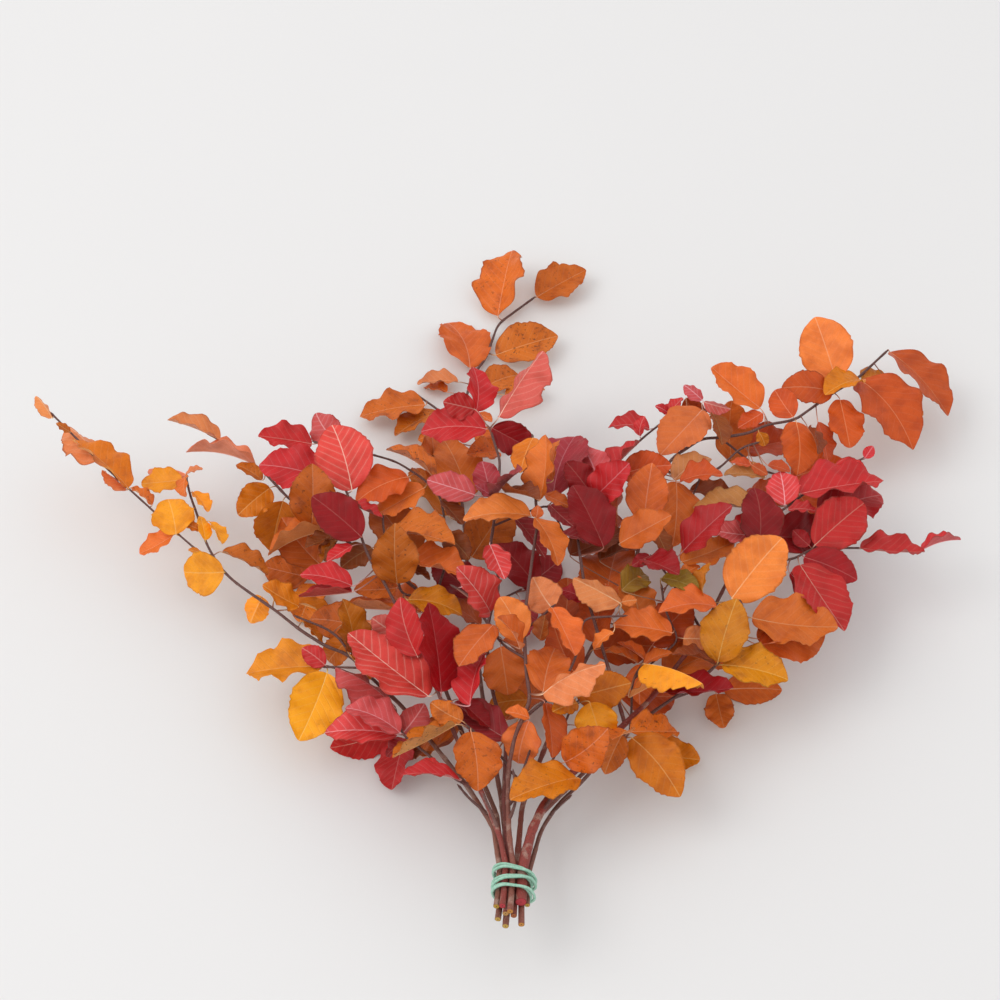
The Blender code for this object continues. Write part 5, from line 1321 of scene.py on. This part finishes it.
def leaf_material():
    """Dye of the leaf's own colour, clouded and mottled, with veins, net, spots and a dry margin."""
    made, tree, shader = new_material("Dyed_beech_leaf", IOR=1.4)
    shader.inputs["Specular IOR Level"].default_value = 0.4
    place = add(tree, "TexCoord").node.outputs["Object"]
    names = ("veins", "blade", "wear", "dye", "rib")
    read = {name: add(tree, "Attribute", attribute_name=name).node.outputs for name in names}
    dyed, pale = read["dye"]["Color"], read["rib"]["Color"]
    phase, across, spacing = add(tree, "SeparateXYZ", read["veins"]["Vector"]).node.outputs
    _, margin, under = add(tree, "SeparateXYZ", read["blade"]["Vector"]).node.outputs
    spotted, dry, veined = add(tree, "SeparateXYZ", read["wear"]["Vector"]).node.outputs

    # Lines. The vein count is a whole number on a vein, so how far it is from one, times the
    # millimetres from vein to vein, is the distance to the nearest vein.
    part = add(tree, "Math", add(tree, "Math", phase, 0.5, operation="ADD"), operation="FRACT")
    turn = add(tree, "Math", add(tree, "Math", part, 0.5, operation="SUBTRACT"), operation="ABSOLUTE")
    off_vein = add(tree, "Math", turn, spacing, operation="MULTIPLY")
    fade = add(tree, "MapRange", margin, 0.7, 1.0, 1.0, 0.35, **SMOOTH)
    line = add(tree, "MapRange", off_vein, VEIN_HALF_MM * 0.3, VEIN_HALF_MM * 1.6, 1.0, 0.0, **SMOOTH)
    vein = add(tree, "Math", line, fade, operation="MULTIPLY")
    near = add(tree, "MapRange", off_vein, *VEIN_GLOW_MM, 1.0, 0.0, **SMOOTH)
    glow = add(tree, "Math", near, fade, operation="MULTIPLY")
    rib = add(tree, "MapRange", across, RIB_HALF_MM * 0.5, RIB_HALF_MM * 1.4, 1.0, 0.0, **SMOOTH)
    net = add(tree, "TexVoronoi", place, 1000.0 / NET_MM, feature="DISTANCE_TO_EDGE")
    netting = add(tree, "MapRange", net, 0.0, 0.14, 1.0, 0.0, **SMOOTH)

    # Colours: each layer covers the ones before it by its share.
    clouds = add(tree, "TexNoise", place, 1000.0 / CLOUD_MM, 3.0)
    mottle = add(tree, "TexNoise", place, 1000.0 / MOTTLE_MM, 2.0)
    freckles = add(tree, "TexNoise", place, 1000.0 / SPOT_MM, 3.0, 0.6)
    patches = add(tree, "TexNoise", place, 1000.0 / PATCHES_MM, 4.0, 0.7)
    deep = add(tree, "Mix", 1.0, dyed, DEEPER, **TINTED)
    brown = linear("5E2C16")
    faint = add(tree, "Math", veined, 0.25, operation="MULTIPLY")
    strong = add(tree, "Math", veined, add(tree, "MapRange", under, 0.0, 1.0, 1.0, 1.5, **SMOOTH),
                 operation="MULTIPLY")
    strongest = add(tree, "Math", veined, 1.6, 0.2, operation="MULTIPLY_ADD")
    freckled = add(tree, "MapRange", freckles, 0.6, 0.68, 0.0, 1.0, **SMOOTH)
    patched = add(tree, "MapRange", patches, 0.56, 0.7, 0.0, 0.6, **SMOOTH)
    marks = add(tree, "Math", freckled, patched, operation="MAXIMUM")
    marks = add(tree, "Math", marks, spotted, operation="MULTIPLY")
    uneven = add(tree, "Math", mottle, 0.1, margin, operation="MULTIPLY_ADD")
    rim = add(tree, "MapRange", uneven, 0.95, 1.05, 0.0, 0.55, **SMOOTH)
    layers = [
        (add(tree, "MapRange", clouds, 0.4, 0.72, 0.0, 0.6, **SMOOTH), deep),
        (add(tree, "MapRange", mottle, 0.3, 0.75, 0.0, 0.18, **SMOOTH), deep),
        (add(tree, "Math", glow, faint, operation="MULTIPLY"), pale),
        (add(tree, "Math", netting, 0.12, operation="MULTIPLY"), deep),
        (add(tree, "Math", vein, strong, operation="MULTIPLY"), pale),
        (add(tree, "Math", rib, strongest, operation="MULTIPLY"), pale),
        (add(tree, "Math", marks, 0.8, operation="MULTIPLY"), brown),
        (add(tree, "Math", rim, dry, operation="MULTIPLY"), brown),
    ]
    colour = dyed
    for share, layer in layers:
        colour = add(tree, "Mix", share, colour, layer, **COLOURS)
    tree.links.new(colour, shader.inputs["Base Color"])

    # Relief: lines are sunk on the upper face and raised on the underside.
    gloss = add(tree, "MapRange", mottle, 0.2, 0.8, 0.36, 0.52, **SMOOTH)
    tree.links.new(gloss, shader.inputs["Roughness"])
    lines = add(tree, "Math", vein, rib, operation="MAXIMUM")
    sunk = add(tree, "MapRange", under, 0.0, 1.0, -0.6, 0.8, **SMOOTH)
    height = add(tree, "Math", mottle, 0.5, operation="MULTIPLY")
    height = add(tree, "Math", netting, -0.25, height, operation="MULTIPLY_ADD")
    height = add(tree, "Math", lines, sunk, height, operation="MULTIPLY_ADD")
    bump = add(tree, "Bump", 0.7, LEAF_RELIEF, None, height)
    tree.links.new(bump, shader.inputs["Normal"])
    return made


leaf_skin = leaf_material()
print(len(leaf_skin.node_tree.nodes), "nodes in the leaf's material")

# %% [markdown]
# ## Bark and sawn ends
# Young beech bark is smooth and thin, purple-brown on the twigs and grey-tan in patches on the stems,
# with pale pores. The dye bath colours it too. The sawn ends show pale wood that took up the dye, with
# growth rings and a dark pith.

# %% Beech bark
PORE_MM = 3.0
PATCH_MM = 11.0
GRAIN_MM = 1.2
BARK_RELIEF = 0.25 * MM


def bark_material():
    """Bark whose colour goes from purple-brown on thin wood to patched red-brown on thick wood."""
    made, tree, shader = new_material("Dyed_beech_bark", Roughness=0.6, IOR=1.45)
    place = add(tree, "TexCoord").node.outputs["Object"]
    wood = add(tree, "Attribute", attribute_name="wood").node.outputs["Vector"]
    thick = add(tree, "SeparateXYZ", wood)
    dye = add(tree, "Attribute", attribute_name="dye")
    patches = add(tree, "TexNoise", place, 1000.0 / PATCH_MM, 4.0)
    grain = add(tree, "TexNoise", place, 1000.0 / GRAIN_MM, 2.0)
    pores = add(tree, "TexVoronoi", place, 1000.0 / PORE_MM)
    patch = add(tree, "MapRange", patches, 0.54, 0.66, 0.0, 0.75, **SMOOTH)
    old = add(tree, "Mix", patch, dye, linear("AC8C7E"), **COLOURS)
    light = add(tree, "MapRange", grain, 0.35, 0.7, 0.0, 1.0, **SMOOTH)
    young = add(tree, "Mix", light, linear("503430"), linear("7C544E"), **COLOURS)
    aged = add(tree, "MapRange", thick, 1.2, 2.6, 0.0, 1.0, **SMOOTH)
    streak = add(tree, "MapRange", grain, 0.45, 0.75, 0.0, 0.5, **SMOOTH)
    pore = add(tree, "MapRange", pores, 0.06, 0.16, 0.45, 0.0, **SMOOTH)
    colour = young
    for share, layer in ((aged, old), (streak, linear("38201C")), (pore, linear("C8B4A0"))):
        colour = add(tree, "Mix", share, colour, layer, **COLOURS)
    tree.links.new(colour, shader.inputs["Base Color"])
    height = add(tree, "Math", grain, pore, operation="ADD")
    bump = add(tree, "Bump", 0.7, BARK_RELIEF, None, height)
    tree.links.new(bump, shader.inputs["Normal"])
    return made


# %% Sawn ends
FIBRE_MM = 1.0
RING_MM = 0.6
PITH_MM = 0.35, 0.6
SAWN_SHADE = (0.45, 0.36, 0.3, 1.0)
SAWN_RELIEF = 0.2 * MM


def sawn_material():
    """Sawn wood: growth rings 0.6 mm apart round a dark pith, and a dark line under the bark."""
    made, tree, shader = new_material("Dyed_sawn_beech", Roughness=0.8)
    wood = add(tree, "Attribute", attribute_name="wood").node.outputs["Vector"]
    off_axis, _, radius = add(tree, "SeparateXYZ", wood).node.outputs
    flesh = add(tree, "Attribute", attribute_name="flesh")
    place = add(tree, "TexCoord").node.outputs["Object"]
    fibre = add(tree, "TexNoise", place, 1000.0 / FIBRE_MM, 2.0)
    wobble = add(tree, "Math", fibre, 0.4, off_axis, operation="MULTIPLY_ADD")
    rings = add(tree, "Math", wobble, 1 / RING_MM, operation="MULTIPLY")
    ring = add(tree, "Math", rings, 1.0, operation="PINGPONG")
    dark = add(tree, "Mix", 1.0, flesh, SAWN_SHADE, **TINTED)
    shade = add(tree, "MapRange", ring, 0.0, 1.0, 0.0, 0.5)
    pith = add(tree, "MapRange", off_axis, *PITH_MM, 1.0, 0.0)
    out_share = add(tree, "Math", off_axis, radius, operation="DIVIDE")
    rim = add(tree, "MapRange", out_share, 0.84, 0.92)
    colour = flesh
    for share, layer in ((shade, dark), (pith, linear("3A2418")), (rim, dark)):
        colour = add(tree, "Mix", share, colour, layer, **COLOURS)
    tree.links.new(colour, shader.inputs["Base Color"])
    bump = add(tree, "Bump", 0.6, SAWN_RELIEF, None, fibre)
    tree.links.new(bump, shader.inputs["Normal"])
    return made


bark, sawn_wood = bark_material(), sawn_material()
print(bark.name, sawn_wood.name)

# %% [markdown]
# ## Growing the branches
# The leaves of a branch are one piece and its wood another. Both stand for the branch's node. A leaf's
# stalk starts on the evened wood nearest to its planned root and runs on under the blade as the midrib.

# %% Where the leaves and wood go
wood, leaves = lay_out()
print(sum(len(grown) for grown in leaves.values()), "leaves on", len(wood), "branches")

# %% Wood of one branch
STEM_SIDES_FINE = 14
TWIG_SIDES_FINE = 9
NODE_SPACING = 38 * MM
KNOT_SWELL = 0.16
KNOT_LENGTH = 2.2 * MM
SAWN_RINGS = (0.3, 0.6, 0.85, 0.97)
BUD_LENGTH = 7 * MM
BUD_RADIUS = 1.0 * MM
BARK_DYES = {"c": "8E3C34", "m": "82423C", "o": "8C5244", "r": "8A493C", "t": "825042", "a": "865444"}
SAWN_DYES = {"c": "C4404A", "m": "C89A5A", "o": "C88A3C", "r": "B86A3A", "t": "C9A44E", "a": "C9A03C"}


def knotted(along, radii, rng):
    """Radii with a swelling at each knot, a bell curve every few centimetres, and a slow uneven wave."""
    knots = (along + rng.uniform(0, NODE_SPACING)) % NODE_SPACING - NODE_SPACING / 2
    swell = KNOT_SWELL * np.exp(-((knots / KNOT_LENGTH) ** 2))
    wave = 0.04 * np.sin(along / MM / 9 + rng.uniform(0, 6.3)) + 0.03 * np.sin(along / MM / 3.7)
    return radii * (1.0 + swell + wave)


def nearest(paths, point):
    """The point of some evened paths that lies nearest to a point."""
    all_points = np.concatenate(paths)
    return all_points[np.argmin(((all_points - np.array(tuple(point))) ** 2).sum(axis=1))]


def grow_wood(name, plan, rng):
    """The wood of a branch: its stem with a sawn face, its twigs with a bud at the tip, and its paths."""
    pile, paths = Pile(), []
    dye, flesh = linear(BARK_DYES[plan["look"]]), linear(SAWN_DYES[plan["look"]])
    for number, (points, radii, _) in enumerate(wood[name]):
        run = np.array(lengths(points))
        tied = run[2] + 4 * MM if number == 0 else 0.0
        path, along = even_path(points, tied)
        radius = np.interp(along, run, radii)
        if number == 0:
            bumpy = knotted(along, radius, rng)
            radius = np.where(along > tied, bumpy, radius)
            radius[-1] *= 0.6
            made = swept(path, radius, STEM_SIDES_FINE, SAWN_RINGS)
        else:
            path += (nearest(paths, path[0]) - path[0]) * np.clip(1 - along / (4 * STEP), 0, 1)[:, None]
            ahead = (path[-1] - path[-2]) / np.linalg.norm(path[-1] - path[-2])
            bud = np.array([0.15, 0.4, 0.7, 1.0])
            path = np.concatenate([path, path[-1] + ahead * bud[:, None] * BUD_LENGTH])
            bud_radii = np.array([1.1, 1.25, 0.8, 0.15]) * BUD_RADIUS
            radius = np.concatenate([knotted(along, radius, rng), bud_radii])
            made = swept(path, radius, TWIG_SIDES_FINE)
        shape, (off_axis, way) = made[:3], made[3:]
        shape[0][:, 2] = np.maximum(shape[0][:, 2], OFF_TABLE)
        girth = np.full(len(off_axis), radius[0] / MM) if number == 0 else off_axis / MM
        read = np.stack([off_axis / MM, way / MM, girth], axis=1)
        sawn = len(SAWN_RINGS) * STEM_SIDES_FINE if number == 0 else 0
        pile.add(*shape, sawn=sawn, wood=read, dye=dye, flesh=flesh)
        paths.append(path)
    return pile, paths


# %% Leaves of one branch
STALK_SIDES = 6
STALK_DYE = "8A5444"
TINT_SPREAD = 0.13
SHADES = (0.92, 1.28)


def tinted(hexes, tint, shade):
    """A colour made lighter or darker by shade, and redder or yellower by tint."""
    red, green, blue, _ = linear(hexes)
    return np.array([red * shade, green * shade * (1 + tint), blue * shade * (1 - 0.5 * tint), 1.0])


def grow_leaf(pile, leaf, look, number, paths):
    """Adds a leaf: its blade, and a stalk from the wood that runs on under the blade as the midrib."""
    top, under, rib, veined, spots = LOOKS[look]
    rng = random.Random(number * 7 + 1)
    tint, shade = rng.uniform(-TINT_SPREAD, TINT_SPREAD), rng.uniform(*SHADES)
    # A leaf under the others is made darker still: painted shade.
    shade *= 0.85 if leaf.filler else 1.0
    points, veins, s, t = fine_blade(leaf, number, spots)
    ends = leaf.blade(np.array([0.0, 1.0]), np.zeros(2))
    shape = closed_skin(points, ends, LEAF_HALF_THICKNESS)

    def both(values, width):
        """Values of the grid for the points of the skin: over the top, back underneath, then the ends."""
        rings = np.concatenate([values, values[:, ::-1]], axis=1).reshape(-1, width)
        return np.concatenate([rings, values[:1, values.shape[1] // 2], values[-1:, values.shape[1] // 2]])

    below = np.zeros((*s.shape, 1))
    side = np.concatenate([below, below + 1], axis=1).reshape(-1, 1)
    side = np.concatenate([side, [[0.5], [0.5]]])
    blade = both(np.stack([s, np.abs(t), s], axis=-1), 3)
    blade[:, 2] = side[:, 0]
    dye = tinted(top, tint, shade) * (1 - side) + tinted(under, tint, shade) * side
    rib_colour = tinted(rib, tint, shade)
    wear = (spots * rng.uniform(0.5, 1.2), rng.uniform(0, 1), veined * rng.uniform(0.7, 1.3))
    pile.add(*shape, veins=both(veins, 3), blade=blade, wear=wear, dye=dye, rib=rib_colour)

    root = nearest(paths, leaf.root)
    base, along = np.array(tuple(leaf.base)), np.array(tuple(leaf.along))
    reach = np.linalg.norm(base - root)
    knee = base - along * min(0.3 * reach, 5 * MM)
    u = np.linspace(0, 1, 7)[:-1, None]
    stalk = root * (1 - u) ** 2 + knee * 2 * u * (1 - u) + base * u**2
    share = np.array([0.0, 0.05, 0.15, 0.3, 0.45, 0.6, 0.75, 0.9])
    under_rib = leaf.blade(share, np.zeros(len(share))) - np.array(tuple(leaf.facing)) * 0.2 * MM
    path = np.concatenate([stalk, under_rib])
    size = min(1.0, leaf.length / (70 * MM))
    radius = np.concatenate([np.linspace(1.35, 1.0, 6), 1.0 - 0.82 * share])
    radius *= RIB_RADIUS_MM * MM * (0.6 + 0.5 * size)
    radius[0] *= 1.35
    path[:, 2] = np.maximum(path[:, 2], radius + OFF_TABLE)
    points, quads, caps, _, way = swept(path, radius, STALK_SIDES)
    count = len(points)
    near_blade = np.clip(way / max(reach, MM), 0, 1)[:, None] ** 2
    stalk_dye = linear(STALK_DYE) * (1 - near_blade) + rib_colour * near_blade
    pile.add(points, quads, caps, veins=np.tile([0.5, 0.0, 9.0], (count, 1)),
             blade=np.tile([0.5, 0.0, 1.0], (count, 1)), wear=(0.0, 0.0, wear[2]),
             dye=stalk_dye, rib=stalk_dye)


# %% All branches
for order, (name, plan) in enumerate(BRANCHES.items()):
    wood_pile, paths = grow_wood(name, plan, random.Random(SEED + order))
    leaf_pile = Pile()
    for number, leaf in enumerate(leaves[name]):
        # A leaf under the others takes a darker look, in turns, as painted shade.
        look = leaf.look or (PAINTED_SHADE_LOOKS[plan["look"]][number % 2] if leaf.filler else plan["look"])
        grow_leaf(leaf_pile, leaf, look, order * 100 + number, paths)
    grown = wood_pile.piece(name + "_wood", [bark, sawn_wood])
    for made in (grown, leaf_pile.piece(name + "_leaves", [leaf_skin])):
        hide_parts(name + "_branch")
        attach(made, "root")
    print(name, len(leaves[name]), "leaves,", leaf_pile.count, "points")

# %% [markdown]
# ## Rubber bands
# Each band is a ring of natural rubber wound twice round the stems. It is a round strand carried along
# the closed path that the plan gives, evened out so that it bends softly over the stems.

# %% Bands
BAND_STEPS = 240
BAND_SIDES_FINE = 14
BAND_EVEN = 13
DUST_MM = 2.0
RUBBER_RELIEF = 0.1 * MM


def rubber_material():
    """Mint rubber, dusty and a little uneven, with a soft gloss."""
    made, tree, shader = new_material("Mint_rubber", Roughness=0.5, IOR=1.52)
    place = add(tree, "TexCoord").node.outputs["Object"]
    dust = add(tree, "TexNoise", place, 1000.0 / DUST_MM, 3.0)
    share = add(tree, "MapRange", dust, 0.35, 0.75)
    colour = add(tree, "Mix", share, linear("8CC2A8"), linear("B2D8C6"), **COLOURS)
    tree.links.new(colour, shader.inputs["Base Color"])
    bump = add(tree, "Bump", 0.4, RUBBER_RELIEF, None, dust)
    tree.links.new(bump, shader.inputs["Normal"])
    return made


rubber = rubber_material()


def band_points(name):
    """A closed round strand: the plan's path in even steps, smoothed round and round, and its circles."""
    along, strand, sway, slant = BANDS[name]
    corners = np.array([tuple(p) for p in band_path(along, strand, sway, slant)])
    corners = np.concatenate([corners, corners[:1]])
    path = at_distances(corners, np.linspace(0, distances(corners)[-1], BAND_STEPS, endpoint=False))
    path = neighbour_mean(np.concatenate([path[-(BAND_EVEN // 2):], path, path[:BAND_EVEN // 2]]), BAND_EVEN)
    ahead = unit(np.roll(path, -1, axis=0) - np.roll(path, 1, axis=0))
    out = unit(np.cross(np.array(tuple(TIE_AXIS)), ahead))
    rings = path[:, None] + circles(out, np.cross(ahead, out), strand * MM, BAND_SIDES_FINE)
    return rings.reshape(-1, 3)


def band_faces():
    """Quads between each circle and the next, and from the last to the first."""
    index = np.arange(BAND_STEPS * BAND_SIDES_FINE).reshape(BAND_STEPS, BAND_SIDES_FINE)
    a, b = index, np.roll(index, -1, axis=1)
    return np.stack([a, b, np.roll(b, -1, axis=0), np.roll(a, -1, axis=0)], axis=-1).reshape(-1, 4)


for name in BANDS:
    band = mesh_object(name + "_strand", band_points(name), band_faces().tolist(), rubber)
    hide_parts(name)
    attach(band, "root")
print("bands:", ", ".join(BANDS))
